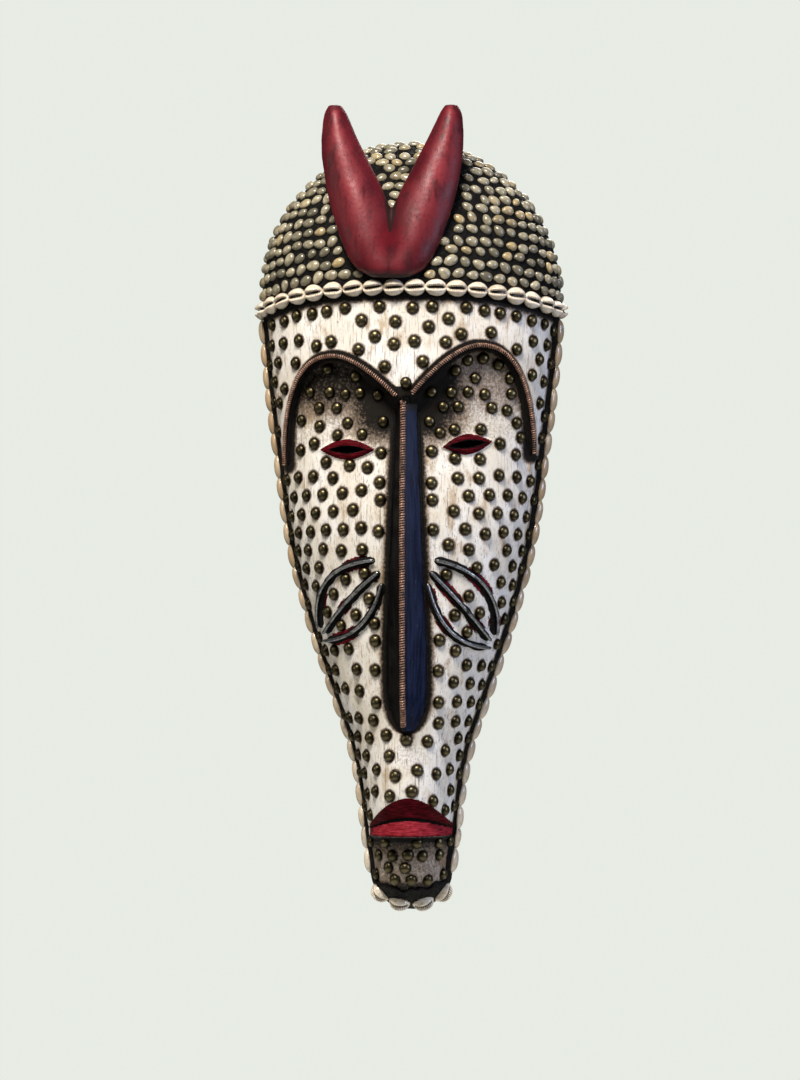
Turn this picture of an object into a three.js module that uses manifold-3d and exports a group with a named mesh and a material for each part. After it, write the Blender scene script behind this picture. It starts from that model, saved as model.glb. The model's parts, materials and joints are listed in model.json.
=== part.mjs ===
// Carved wooden wall mask, built as separate pieces.
// Millimetres, +Z up. The face looks along -Y and the flat back rim lies on the wall plane Y = 0.
// The origin is the point of the wall hook that the hanger wire rests on.

import * as THREE from 'three';
import { mergeVertices } from 'three/addons/utils/BufferGeometryUtils.js';
import Module from 'manifold-3d';

const wasm = await Module();
wasm.setup();

// ---------------------------------------------------------------- driving dimensions
// Heights are measured up from the lowest point of the mask, side to side from its middle line.

const hookHeight = 600;

const headTop = 666;
const crownHeight = 535;
const chinBottom = 4;
const chinRound = 34;

// Wooden outline below the crown: height, half width, depth in front of the wall.
const stations = [
  [0, 32, 40],
  [34, 33, 51],
  [75, 38, 63],
  [115, 43, 69],
  [150, 51, 74],
  [185, 63, 78],
  [254, 86, 84],
  [323, 103.5, 88],
  [393, 113.5, 90],
  [462, 122.3, 91],
  [535, 127.5, 90],
];
const [, headHalf, headDepth] = stations.at(-1);

const frontFlatness = 0.86;
const wallThickness = 12;
const frontThickness = 25;
const hollowBottom = 42;
const hollowTop = 644;

// Brow arches, side by side: the inner end, the apex and the outer end of each.
const brows = {
  left: { inner: [6, 447], apex: [60, 483], outer: [105, 388] },
  right: { inner: [5, 449], apex: [62, 492], outer: [106, 397] },
};
const browInnerPower = 1.6;
const browOuterPower = 2.5;
const socketDepth = 13;
const socketEdge = 9;
const socketFoot = 325;
const socketRoof = 455;
// Towards the temples the sockets lose this share of their depth.
const socketFade = { from: 55, to: 108, share: 0.45 };

// Eyes: middle, half length and half height of the painted lids.
const eyes = {
  left: { x: -51, height: 401.5, length: 24, rise: 8.6, tilt: 0 },
  right: { x: 53, height: 406, length: 21, rise: 8.6, tilt: THREE.MathUtils.degToRad(7) },
};
const lidRelief = 3.5;
// The lids stand full height up to lidCrown and end at lidFoot, where 1 is their painted outline.
const lidPower = 1.8;
const lidCrown = 0.7;
const lidFoot = 1.25;
const slitHalfLength = 15.5;
const slitHalfHeight = 2.9;
const slitDepth = 10;

// Mouth: both lips are carved out of the muzzle.
const mouthMiddle = 2;
const mouthHalf = 35;
const mouthCorner = 73;
const mouthLine = 81;
const lipTop = 100.5;
const lipTopCorner = 78;
const lipBottom = 67;
const lipRelief = 11;
const upperLipInner = 2.5;
const lowerLipInner = 4;
const lowerLipEdge = 12;
const muzzleTop = 165;
// Under the lower lip the chin falls back by chinDip over lipDrop, and fills out again lower down.
const chinDip = 4;
const lipDrop = 4;
const chinFill = [8, 40];

const noseRoot = 446;
const noseTip = 158;
const noseRootHalf = 9;
const noseHalf = 17.5;
const noseRootRise = 10;
const noseRise = 22;
const noseSink = 9;
// As shares of the way from root to tip: where the nose gets no wider, where its tip starts to round off,
// and how far that rounding runs.
const noseWidest = 0.75;
const noseTipStart = 0.86;
const noseTipSpan = 0.145;
const noseMiddle = 1;
const ridgeMiddle = -1.5;

const masticThickness = 2.8;
const fit = 0.3;
const rimBandDepth = 18;
const capEdgeMiddle = 533;
const capEdgeSide = 515;

const coilRadius = 2.1;
const noseCoilRadius = 2.7;
const cheekWireRadius = 1.5;
const bedHeight = 1.6;
const bedFoot = -2;
const bedFlatShare = 0.7;
const browBedHalf = 5;
const noseBedHalf = 1.5;
const cheekBedHalf = 4.2;
const chinMasticTop = 22;

const fullCowrie = { length: 18.6, width: 14.5, height: 6.6 };
const capCowries = 20;
const sideCowrie = { length: 22, width: 13, height: 4.2 };
const sideCowrieSpacing = 19.8;
const sideLineDepth = 10;

const crestMiddle = -12;
const crestLean = THREE.MathUtils.degToRad(13);
const crestFoot = 549;
const crestFootDepth = 97;

const hangerRadius = 1.1;
const hangerDepth = 9;
const nailRadius = 1.2;

const tackRadius = 5.1;
const tackRise = 4;
const tackShank = 1.1;
const tackLength = 9;

// ---------------------------------------------------------------- materials

const finish = (color, roughness, metalness) => (
  new THREE.MeshStandardMaterial({ color, roughness, metalness })
);
const whiteWood = finish(0xe6e0d4, 0.6, 0);
const blackLacquer = finish(0x10131a, 0.35, 0);
const redPaint = finish(0x8c1f2a, 0.5, 0);
const mastic = finish(0x16130f, 0.85, 0);
const copper = finish(0x8a5a3c, 0.4, 1);
const steel = finish(0x5b5e60, 0.4, 1);
const brass = finish(0x5c5433, 0.35, 1);
const shell = finish(0xe2d8c0, 0.3, 0);
const plainWood = finish(0x9a7b56, 0.7, 0);

// ---------------------------------------------------------------- the carved surface

const { lerp, smoothstep, clamp } = THREE.MathUtils;

// A smooth curve through one column of the stations.
function profile(height, column) {
  const last = stations.length - 1;
  let i = 0;
  while (i < last - 1 && height > stations[i + 1][0]) i += 1;
  const slope = (k) => {
    const a = stations[Math.max(k - 1, 0)];
    const b = stations[Math.min(k + 1, last)];
    return k === last ? 0 : (b[column] - a[column]) / (b[0] - a[0]);
  };
  const [low, high] = [stations[i], stations[i + 1]];
  const span = high[0] - low[0];
  const t = clamp((height - low[0]) / span, 0, 1);
  const [t2, t3] = [t * t, t * t * t];
  return (
    (2 * t3 - 3 * t2 + 1) * low[column]
    + (t3 - 2 * t2 + t) * span * slope(i)
    + (3 * t2 - 2 * t3) * high[column]
    + (t3 - t2) * span * slope(i + 1)
  );
}

// How much of the width and depth is left near the round chin and the round head.
function roundEnds(height, grow) {
  if (height > crownHeight) {
    const up = (height - crownHeight) / (headTop + grow - crownHeight);
    return Math.sqrt(Math.max(1 - up * up, 0));
  }
  if (height < chinRound) {
    const down = (chinRound - height) / (chinRound - chinBottom + grow);
    return Math.sqrt(Math.max(1 - down * down, 0));
  }
  return 1;
}

// Height of the brow line above a place `across` millimetres from the middle line.
function browLine(brow, across) {
  const { inner, apex, outer } = brow;
  if (across <= apex[0]) {
    const left = clamp((apex[0] - across) / (apex[0] - inner[0]), 0, 1);
    return inner[1] + (apex[1] - inner[1]) * (1 - left ** browInnerPower);
  }
  const out = clamp((across - apex[0]) / (outer[0] - apex[0]), 0, 1);
  return outer[1] + (apex[1] - outer[1]) * (1 - out ** browOuterPower) ** (1 / browOuterPower);
}

function socketRelief(x, height) {
  const brow = x < 0 ? brows.left : brows.right;
  const across = Math.abs(x);
  if (across > brow.outer[0]) return 0;
  const step = 0.5;
  const line = browLine(brow, across);
  const steep = (browLine(brow, across + step) - line) / step;
  const inside = (line - height) / Math.hypot(1, steep);
  const depth = smoothstep(inside, 0, socketEdge) * smoothstep(height, socketFoot, socketRoof);
  return -socketDepth * depth * (1 - socketFade.share * smoothstep(across, socketFade.from, socketFade.to));
}

function lidShape(x, height) {
  const eye = x < 0 ? eyes.left : eyes.right;
  const [cos, sin] = [Math.cos(eye.tilt), Math.sin(eye.tilt)];
  const [dx, dh] = [x - eye.x, height - eye.height];
  const along = Math.abs(dx * cos + dh * sin) / eye.length;
  const across = Math.abs(dh * cos - dx * sin) / eye.rise;
  return lidRelief * (1 - smoothstep(along ** lidPower + across, lidCrown, lidFoot));
}

function mouthRelief(x, height) {
  const s = clamp((x - mouthMiddle) / mouthHalf, -1.4, 1.4);
  const top = lerp(lipTop, lipTopCorner, Math.min(s * s, 1));
  const line = lerp(mouthLine, mouthCorner, Math.min(s * s, 1));
  const sides = 1 - 0.6 * smoothstep(Math.abs(s), 0.6, 1.3);
  if (height > top) return lipRelief * sides * (1 - smoothstep(height, top, muzzleTop));
  if (height > line) return sides * lerp(upperLipInner, lipRelief, (height - line) / (top - line));
  const below = lipBottom - height;
  if (below < 0) return sides * lerp(lowerLipEdge, lowerLipInner, -below / (line - lipBottom));
  const dip = -chinDip * (1 - smoothstep(below, ...chinFill));
  return sides * lerp(lowerLipEdge, dip, smoothstep(below, 0, lipDrop));
}

const relief = (x, height) => socketRelief(x, height) + lidShape(x, height) + mouthRelief(x, height);

// A point of the carved surface. `turn` runs from -90 degrees at the left rim to 90 at the right rim,
// and `grow` moves the whole surface out by that much.
function carved(turn, height, grow = 0) {
  const ends = roundEnds(height, grow);
  const halfWidth = (profile(height, 1) + grow) * ends;
  const depth = (profile(height, 2) + grow) * ends;
  const front = Math.max(Math.cos(turn), 0) ** frontFlatness;
  const push = relief(profile(height, 1) * ends * Math.sin(turn), height) * Math.min(1, 2 * front) * ends;
  return new THREE.Vector3(halfWidth * Math.sin(turn), -depth * front - push, height);
}

// The same surface found from a place to the side of the middle line.
function onFace(x, height, lift = 0) {
  const halfWidth = profile(height, 1) * roundEnds(height, 0);
  return carved(Math.asin(clamp(x / halfWidth, -1, 1)), height, lift);
}

// ---------------------------------------------------------------- solids

// Shares the vertices of a closed mesh and drops the triangles that collapse on an axis.
function weld(geometry) {
  const bare = geometry.clone();
  bare.deleteAttribute('normal');
  bare.deleteAttribute('uv');
  const merged = mergeVertices(bare, 1e-4);
  const corners = [];
  for (let i = 0; i < merged.index.count; i += 3) {
    const [a, b, c] = merged.index.array.slice(i, i + 3);
    if (a !== b && b !== c && c !== a) corners.push(a, b, c);
  }
  merged.setIndex(corners);
  return merged;
}

function toSolid(geometry) {
  const closed = geometry.attributes.normal ? weld(geometry) : geometry;
  return new wasm.Manifold(new wasm.Mesh({
    numProp: 3,
    vertProperties: new Float32Array(closed.attributes.position.array),
    triVerts: new Uint32Array(closed.index.array),
  }));
}

function toGeometry(solid) {
  const mesh = solid.getMesh();
  const geometry = new THREE.BufferGeometry();
  geometry.setAttribute('position', new THREE.BufferAttribute(mesh.vertProperties, 3));
  geometry.setIndex(new THREE.BufferAttribute(mesh.triVerts, 1));
  return geometry;
}

// The largest body of a solid, without the crumbs that a shallow cut leaves.
function mainBody(solid) {
  const bodies = solid.decompose().sort((a, b) => b.volume() - a.volume());
  if (bodies.length > 1 && bodies[1].volume() > 1) throw new Error('a piece fell apart');
  return bodies[0];
}

// A closed skin over rings of points that all have the same count; both ends are capped with a fan.
function loft(rings) {
  const count = rings[0].length;
  const points = rings.flat();
  const index = [];
  for (let r = 0; r < rings.length - 1; r += 1) {
    for (let i = 0; i < count; i += 1) {
      const a = r * count + i;
      const b = r * count + ((i + 1) % count);
      index.push(a, b, b + count, a, b + count, a + count);
    }
  }
  const capEnd = (ring, first, facing) => {
    const middle = new THREE.Vector3();
    ring.forEach((point) => middle.addScaledVector(point, 1 / count));
    points.push(middle);
    for (let i = 0; i < count; i += 1) {
      const [a, b] = [first + i, first + ((i + 1) % count)];
      index.push(...(facing ? [points.length - 1, a, b] : [points.length - 1, b, a]));
    }
  };
  capEnd(rings[0], 0, false);
  capEnd(rings.at(-1), (rings.length - 1) * count, true);
  const geometry = new THREE.BufferGeometry();
  geometry.setAttribute('position', new THREE.Float32BufferAttribute(points.flatMap((p) => p.toArray()), 3));
  geometry.setIndex(index);
  return outward(geometry);
}

// Turns the faces round if the closed mesh came out inside out.
function outward(geometry) {
  const position = geometry.attributes.position;
  const index = geometry.index.array;
  const corner = (i) => new THREE.Vector3().fromBufferAttribute(position, index[i]);
  let volume = 0;
  for (let i = 0; i < index.length; i += 3) {
    volume += corner(i).dot(corner(i + 1).cross(corner(i + 2)));
  }
  if (volume > 0) return geometry;
  const turned = [];
  for (let i = 0; i < index.length; i += 3) turned.push(index[i], index[i + 2], index[i + 1]);
  geometry.setIndex(turned);
  return geometry;
}

function box(low, high) {
  const geometry = new THREE.BoxGeometry(high[0] - low[0], high[1] - low[1], high[2] - low[2]);
  geometry.translate((low[0] + high[0]) / 2, (low[1] + high[1]) / 2, (low[2] + high[2]) / 2);
  return toSolid(geometry);
}

// A round pin along -Y, from its back end.
function pin(radius, x, back, length, height) {
  const geometry = new THREE.CylinderGeometry(radius, radius, length, 10);
  geometry.translate(x, back - length / 2, height);
  return toSolid(geometry);
}

function tube(points, radius, sides, steps) {
  const section = new THREE.Shape();
  for (let i = 0; i <= sides; i += 1) {
    const angle = (i / sides) * 2 * Math.PI;
    const corner = [radius * Math.cos(angle), radius * Math.sin(angle)];
    if (i === 0) section.moveTo(...corner);
    else if (i < sides) section.lineTo(...corner);
  }
  section.closePath();
  const path = new THREE.CatmullRomCurve3(points);
  return toSolid(new THREE.ExtrudeGeometry(section, { steps, extrudePath: path, bevelEnabled: false }));
}

// The whole head as a block: the carved surface in front and a flat back at `back`.
const rowBands = [[30, 4], [60, 2], [106, 9], [165, 3], [330, 6], [500, 13], [535, 2]];

function rowHeights(grow) {
  const heights = [];
  let from = chinBottom;
  for (const [to, rows] of rowBands) {
    for (let i = 0; i < rows; i += 1) {
      const t = i / rows;
      const rounded = lerp(from - grow, to, 1 - Math.cos(t * Math.PI / 2));
      heights.push(from === chinBottom ? rounded : lerp(from, to, t));
    }
    from = to;
  }
  const domeRows = 7;
  for (let i = 0; i <= domeRows; i += 1) {
    heights.push(lerp(from, headTop + grow, Math.sin((i / domeRows) * Math.PI / 2)));
  }
  return heights;
}

function headBlock(grow, back = 0, columns = 28) {
  const poleGap = 0.02;
  const heights = rowHeights(grow);
  heights[0] += poleGap;
  heights[heights.length - 1] -= poleGap;
  const rings = heights.map((height) => {
    const ring = [];
    for (let i = 0; i <= columns; i += 1) {
      ring.push(carved(lerp(-Math.PI / 2, Math.PI / 2, i / columns), height, grow));
    }
    if (back > 0) {
      ring.push(ring.at(-1).clone().setY(back));
      ring.push(ring[0].clone().setY(back));
    }
    return ring;
  });
  return toSolid(loft(rings));
}

// Half width and depth of the hollow behind the face.
function hollowSize(height) {
  const middle = (hollowBottom + hollowTop) / 2;
  const away = (height - middle) / (hollowTop - middle);
  const round = Math.sqrt(Math.max(1 - away * away, 0));
  const ends = Math.min(1, 0.3 + 0.9 * round ** 0.8);
  return {
    halfWidth: (profile(height, 1) * roundEnds(height, 0) - wallThickness) * ends,
    depth: (profile(height, 2) * roundEnds(height, 0) - frontThickness) * ends,
  };
}

function hollow() {
  const [rows, columns, past] = [16, 16, 5];
  const rings = [];
  for (let r = 0; r <= rows; r += 1) {
    const height = lerp(hollowBottom, hollowTop, (1 - Math.cos((r / rows) * Math.PI)) / 2);
    const { halfWidth, depth } = hollowSize(height);
    const ring = [];
    for (let i = 0; i <= columns; i += 1) {
      const turn = lerp(-Math.PI / 2, Math.PI / 2, i / columns);
      ring.push(new THREE.Vector3(halfWidth * Math.sin(turn), -depth * Math.cos(turn) ** 0.8, height));
    }
    ring.push(new THREE.Vector3(halfWidth, past, height), new THREE.Vector3(-halfWidth, past, height));
    rings.push(ring);
  }
  return toSolid(loft(rings));
}

// What is cut away for an eye: a groove with an almond outline, blind at the back.
function eyeSlit(eye) {
  const floor = onFace(eye.x, eye.height).y + slitDepth;
  const front = 140;
  const outline = new THREE.Shape();
  outline.moveTo(-slitHalfLength, 0);
  outline.quadraticCurveTo(0, slitHalfHeight * 2, slitHalfLength, 0);
  outline.quadraticCurveTo(0, -slitHalfHeight * 2, -slitHalfLength, 0);
  const depth = front + floor;
  const geometry = new THREE.ExtrudeGeometry(outline, { depth, bevelEnabled: false, curveSegments: 5 });
  geometry.rotateZ(eye.tilt);
  geometry.rotateX(Math.PI / 2);
  geometry.translate(eye.x, floor, eye.height);
  return toSolid(geometry);
}

// A flat band laid along a path of [x, height] places on the face.
function strip(path, halfWidth, bottom, top) {
  const rings = path.map((place, i) => {
    const before = path[Math.max(i - 1, 0)];
    const after = path[Math.min(i + 1, path.length - 1)];
    const along = new THREE.Vector2(after[0] - before[0], after[1] - before[1]).normalize();
    const corner = (side, lift) => onFace(place[0] + along.y * side, place[1] - along.x * side, lift);
    return [
      corner(-halfWidth, bottom),
      corner(-bedFlatShare * halfWidth, top),
      corner(bedFlatShare * halfWidth, top),
      corner(halfWidth, bottom),
    ];
  });
  return toSolid(loft(rings));
}

function browPath(side, steps) {
  const sign = side === 'left' ? -1 : 1;
  const brow = brows[side];
  const innerSteps = Math.round(steps * 0.42);
  const path = [];
  for (let i = 0; i < innerSteps; i += 1) {
    const across = lerp(brow.inner[0], brow.apex[0], i / innerSteps);
    path.push([sign * across, browLine(brow, across)]);
  }
  const outerSteps = steps - innerSteps;
  for (let i = 0; i <= outerSteps; i += 1) {
    const angle = (i / outerSteps) * Math.PI / 2;
    const across = lerp(brow.apex[0], brow.outer[0], Math.sin(angle) ** (2 / browOuterPower));
    const up = Math.cos(angle) ** (2 / browOuterPower);
    path.push([sign * across, lerp(brow.outer[1], brow.apex[1], up)]);
  }
  return path;
}

// ---------------------------------------------------------------- the nose

function noseHalfWidth(height) {
  const down = (noseRoot - height) / (noseRoot - noseTip);
  const widen = lerp(noseRootHalf, noseHalf, Math.min(1, down / noseWidest));
  if (down < noseTipStart) return widen;
  return widen * Math.sqrt(Math.max(1 - ((down - noseTipStart) / noseTipSpan) ** 2, 0));
}

function noseRidge(height) {
  const down = (noseRoot - height) / (noseRoot - noseTip);
  const tipFall = smoothstep(down, 0.88, 1.04);
  return onFace(noseHalfWidth(height), height).y - lerp(noseRootRise, noseRise, down) * (1 - 0.75 * tipFall);
}

function noseSolid(grow) {
  const rings = [];
  const rows = 16;
  for (let i = 0; i <= rows; i += 1) {
    const height = lerp(noseTip - grow, noseRoot + grow, i / rows);
    const half = Math.max(noseHalfWidth(height), 1.5) + grow;
    const foot = onFace(half, height).y;
    const deep = foot + noseSink;
    const ridge = noseRidge(height) - grow;
    const ridgeHalf = 1.2 + grow;
    rings.push([
      new THREE.Vector3(noseMiddle - half, deep, height),
      new THREE.Vector3(noseMiddle - half, foot, height),
      new THREE.Vector3(ridgeMiddle - ridgeHalf, ridge, height),
      new THREE.Vector3(ridgeMiddle + ridgeHalf, ridge, height),
      new THREE.Vector3(noseMiddle + half, foot, height),
      new THREE.Vector3(noseMiddle + half, deep, height),
    ]);
  }
  return toSolid(loft(rings));
}

// ---------------------------------------------------------------- the horn crest

// One horn, by height: middle, half width and half thickness.
const hornStations = [
  [549, 4, 9, 5],
  [553, 8, 18, 10],
  [563, 12, 23, 13],
  [581, 18, 25.5, 15],
  [605, 25, 26.5, 15],
  [630, 33.5, 24, 14],
  [655, 42, 19.5, 12.5],
  [672, 46.5, 15.5, 11],
  [688, 49.5, 11.5, 9.5],
  [697, 50.5, 8.5, 7],
  [700, 50.5, 4.5, 4],
];

// The wood that fills the fork between the horns, on the middle line.
const webStations = [
  [552, 0, 6, 7],
  [563, 0, 12, 11.5],
  [581, 0, 12, 13],
  [592, 0, 7, 11],
  [599, 0, 2, 8],
];

function crestDepth(height) {
  return crestFootDepth - (height - crestFoot) * Math.tan(crestLean);
}

function crestBody(stationList, sign, sides = 12) {
  const rings = stationList.map(([height, middle, halfWidth, halfDepth]) => {
    const ring = [];
    for (let i = 0; i < sides; i += 1) {
      const angle = (i / sides) * 2 * Math.PI;
      ring.push(new THREE.Vector3(
        crestMiddle + sign * middle + halfWidth * Math.cos(angle),
        -crestDepth(height) + halfDepth * Math.sin(angle),
        height,
      ));
    }
    return ring;
  });
  return toSolid(loft(rings));
}

// ---------------------------------------------------------------- cowries and tacks

// A cowrie with its long side along X, its slot looking along +Z and its middle at the origin.
function cowrie(size, around, rows, slotted) {
  const body = new THREE.SphereGeometry(1, around, rows);
  body.rotateZ(Math.PI / 2);
  body.scale(size.length / 2, size.width / 2, size.height / 2);
  if (!slotted) return weld(body);
  const slot = new THREE.SphereGeometry(1, 6, 3);
  slot.rotateZ(Math.PI / 2);
  slot.scale(size.length * 0.42, 0.9, 2.2);
  slot.translate(0, 0, size.height / 2);
  return toGeometry(toSolid(body).subtract(toSolid(slot)));
}

// Sets a geometry down at a place, with X along `along` and Z along `out`.
function setDown(geometry, place, along, out) {
  const z = out.clone().normalize();
  const y = z.clone().cross(along).normalize();
  const x = y.clone().cross(z);
  const frame = new THREE.Matrix4().makeBasis(x, y, z).setPosition(place);
  return geometry.clone().applyMatrix4(frame);
}

function surfaceNormal(turn, height, grow) {
  const step = 0.01;
  const across = carved(turn + step, height, grow).sub(carved(turn - step, height, grow));
  const up = carved(turn, height + 1, grow).sub(carved(turn, height - 1, grow));
  return across.cross(up).normalize();
}

// Places at equal steps along a list of points.
function equalSteps(points, count) {
  const curve = new THREE.CatmullRomCurve3(points);
  curve.arcLengthDivisions = 400;
  return Array.from({ length: count }, (_, i) => {
    const t = (i + 0.5) / count;
    return { place: curve.getPointAt(t), along: curve.getTangentAt(t), t };
  });
}

function capEdge(turn) {
  return lerp(capEdgeMiddle, capEdgeSide, Math.abs(Math.sin(turn)) ** 3);
}

// Everything above the cap edge, as a thick plate with an arched lower edge.
function archRegion(drop) {
  const outline = new THREE.Shape();
  const reach = 150;
  outline.moveTo(-reach, capEdgeSide - drop);
  for (let i = 0; i <= 16; i += 1) {
    const turn = lerp(-Math.PI / 2, Math.PI / 2, i / 16);
    outline.lineTo(headHalf * Math.sin(turn), capEdge(turn) - drop);
  }
  outline.lineTo(reach, capEdgeSide - drop);
  outline.lineTo(reach, 720);
  outline.lineTo(-reach, 720);
  const geometry = new THREE.ExtrudeGeometry(outline, { depth: 150, bevelEnabled: false });
  geometry.rotateX(Math.PI / 2);
  return toSolid(geometry);
}

// A domed tack; `grow` widens its shank, for the hole that it needs.
function tack(place, out, grow) {
  const outline = [];
  for (let i = 0; i <= 3; i += 1) {
    const angle = (i / 3) * Math.PI / 2;
    outline.push(new THREE.Vector2(tackRadius * Math.sin(angle), tackRise * Math.cos(angle)));
  }
  outline.push(new THREE.Vector2(tackShank + grow, 0));
  outline.push(new THREE.Vector2(tackShank + grow, -tackLength - grow));
  outline.push(new THREE.Vector2(0, -tackLength - 1 - grow));
  const geometry = new THREE.LatheGeometry(outline.reverse(), 8);
  geometry.rotateX(Math.PI / 2);
  return setDown(weld(geometry), place, new THREE.Vector3(1, 0, 0), out);
}

// ---------------------------------------------------------------- assembly

const mask = new THREE.Group();
mask.position.z = -hookHeight;

function add(name, solid, material) {
  const geometry = toGeometry(mainBody(solid)).toNonIndexed();
  geometry.computeVertexNormals();
  const mesh = new THREE.Mesh(geometry, material);
  mesh.name = name;
  mask.add(mesh);
}

const head = headBlock(0);
const headClear = headBlock(fit, 2);
const skinClear = headBlock(masticThickness + 2 * fit, 2);
const skin = headBlock(masticThickness + fit);

// Pegs, nails and tacks need holes in the wood.
const pegs = { left: -18, right: 18 };
const pegHeight = 592;
const pegRadius = 4;
const pegBack = -64;
const pegLength = 26;
const peg = (side, grow) => (
  pin(pegRadius + grow, crestMiddle + pegs[side], pegBack + grow, pegLength + 2 * grow, pegHeight)
);

let wood = head.subtract(hollow());
for (const eye of Object.values(eyes)) wood = wood.subtract(eyeSlit(eye));
for (const side of Object.keys(pegs)) wood = wood.subtract(peg(side, fit));

let cap = skin.intersect(archRegion(0)).subtract(headClear);
for (const side of Object.keys(pegs)) cap = cap.subtract(peg(side, fit));

const besideFace = box([-150, -rimBandDepth, -10], [150, 0, capEdgeSide]);
const underChin = box([-150, -150, -10], [150, 0, chinMasticTop]);
const rimBand = skin
  .intersect(besideFace.add(underChin))
  .subtract(archRegion(1))
  .subtract(headClear);

let crest = crestBody(hornStations, -1)
  .add(crestBody(hornStations, 1))
  .add(crestBody(webStations, 1))
  .subtract(skinClear);
for (const side of Object.keys(pegs)) crest = crest.subtract(peg(side, fit));

const nose = noseSolid(0).subtract(headClear);
const noseClear = noseSolid(fit);

// The ridge coil lies on the nose from just under the root to the tip.
const ridgePoints = [];
for (let i = 0; i <= 10; i += 1) {
  const height = lerp(noseRoot - 4, noseTip + 4, i / 10);
  ridgePoints.push(new THREE.Vector3(ridgeMiddle, noseRidge(height) - noseCoilRadius * 0.75, height));
}

add('nose_wedge', nose, blackLacquer);
add('nose_coil', tube(ridgePoints, noseCoilRadius, 8, 12).subtract(noseClear), copper);

// Beds of mastic and what lies on them.
const bedTop = bedHeight + fit;
const sides = { left: -1, right: 1 };

function noseBed(sign, grow) {
  const path = [];
  for (let i = 0; i <= 10; i += 1) {
    const height = lerp(428, 186, i / 10);
    path.push([noseMiddle + sign * (noseHalfWidth(height) + noseBedHalf), height]);
  }
  return strip(path, noseBedHalf + grow, bedFoot, bedTop + grow);
}

for (const [side, sign] of Object.entries(sides)) {
  const path = browPath(side, 18);
  const bed = strip(path, browBedHalf, bedFoot, bedTop).subtract(headClear).subtract(noseClear);
  add(`brow_bed_${side}`, bed, mastic);
  const lift = bedTop + fit + coilRadius;
  const coilPath = path.map(([x, height]) => onFace(x, height, lift));
  add(`brow_coil_${side}`, tube(coilPath, coilRadius, 7, 20).subtract(noseClear), copper);
  add(`nose_bed_${side}`, noseBed(sign, 0).subtract(headClear).subtract(noseClear), mastic);
}

// Three wires on each cheek, fanned out from the nose and meeting at the outer end.
const cheekWires = [
  { start: [26, 306], bend: [83, 301], end: [76, 247] },
  { start: [22, 296], bend: [51, 273], end: [71, 242.5] },
  { start: [19.5, 286], bend: [31, 238], end: [70.5, 236.5] },
];
const cheekDrop = { left: 0, right: 6 };
const cheekReach = { left: 1, right: 0.975 };

// Where the three beds run together, just short of the tack.
const cheekJoint = [[74, 249], [69, 243], [67.5, 237]];
const cheekJointHalf = 3;

for (const [side, sign] of Object.entries(sides)) {
  const reach = sign * cheekReach[side];
  const joint = cheekJoint.map(([x, height]) => [reach * x, height - cheekDrop[side]]);
  let beds = strip(joint, cheekJointHalf, bedFoot, bedTop);
  cheekWires.forEach(({ start, bend, end }, i) => {
    const curve = new THREE.QuadraticBezierCurve(
      new THREE.Vector2(reach * start[0], start[1]),
      new THREE.Vector2(reach * bend[0], bend[1] - cheekDrop[side]),
      new THREE.Vector2(reach * end[0], end[1] - cheekDrop[side]),
    );
    const path = curve.getPoints(8).map((point) => [point.x, point.y]);
    beds = beds.add(strip(path, cheekBedHalf, bedFoot, bedTop));
    const lift = bedTop + fit + cheekWireRadius;
    const wire = tube(path.map(([x, height]) => onFace(x, height, lift)), cheekWireRadius, 6, 9);
    add(`cheek_wire_${side}_${i + 1}`, wire, steel);
  });
  beds = beds.subtract(headClear).subtract(noseClear).subtract(noseBed(sign, fit));
  add(`cheek_bed_${side}`, beds, mastic);
}

// One tack holds each leaf of wires at its outer end, and one covers the joint of the brow coils.
const tackPlaces = {
  brow_tack: [noseMiddle, 459],
  cheek_tack_left: [-77, 239],
  cheek_tack_right: [75, 233],
};
for (const [name, [x, height]] of Object.entries(tackPlaces)) {
  const turn = Math.asin(x / profile(height, 1));
  const out = surfaceNormal(turn, height, 0);
  const place = onFace(x, height, 0).addScaledVector(out, fit * 2);
  wood = wood.subtract(toSolid(tack(place, out, fit)));
  add(name, toSolid(tack(place, out, 0)), brass);
}

add('rim_mastic', rimBand, mastic);
add('horn_crest', crest, redPaint);
for (const side of Object.keys(pegs)) add(`horn_peg_${side}`, peg(side, 0), plainWood);

// Cowries along the lower edge of the cap.
const capLine = [];
for (let i = 0; i <= 24; i += 1) {
  const turn = lerp(-Math.PI / 2, Math.PI / 2, i / 24);
  capLine.push(carved(turn, capEdge(turn) + 8, masticThickness + fit));
}
const slottedCowrie = cowrie(fullCowrie, 8, 4, true);
equalSteps(capLine, capCowries).forEach(({ place, along }, i) => {
  const out = new THREE.Vector3(place.x / headHalf ** 2, place.y / headDepth ** 2, 0).normalize();
  const middle = place.clone().addScaledVector(out, fullCowrie.height / 2 + 2 * fit);
  const body = toSolid(setDown(slottedCowrie, middle, along, out));
  add(`cap_cowrie_${String(i + 1).padStart(2, '0')}`, body, shell);
});

// Four cowries face forward and down under the chin.
const chinPlaces = [[-26, 16], [-9, 8], [11.5, 8], [29, 16]];
const chinCowries = chinPlaces.map(([x, height]) => {
  const turn = Math.asin(clamp(x / ((profile(height, 1) + 3) * roundEnds(height, 3)), -0.95, 0.95));
  const facing = surfaceNormal(turn, height, 3).lerp(new THREE.Vector3(0, -1, 0), 0.45).normalize();
  const place = carved(turn, height, masticThickness + fit).addScaledVector(facing, fullCowrie.height * 0.4);
  const along = new THREE.Vector3(1, 0, x * 0.022);
  return toSolid(setDown(slottedCowrie, place, along, facing)).subtract(skinClear);
});
chinCowries.forEach((body, i) => add(`chin_cowrie_${i + 1}`, body, shell));

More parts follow.
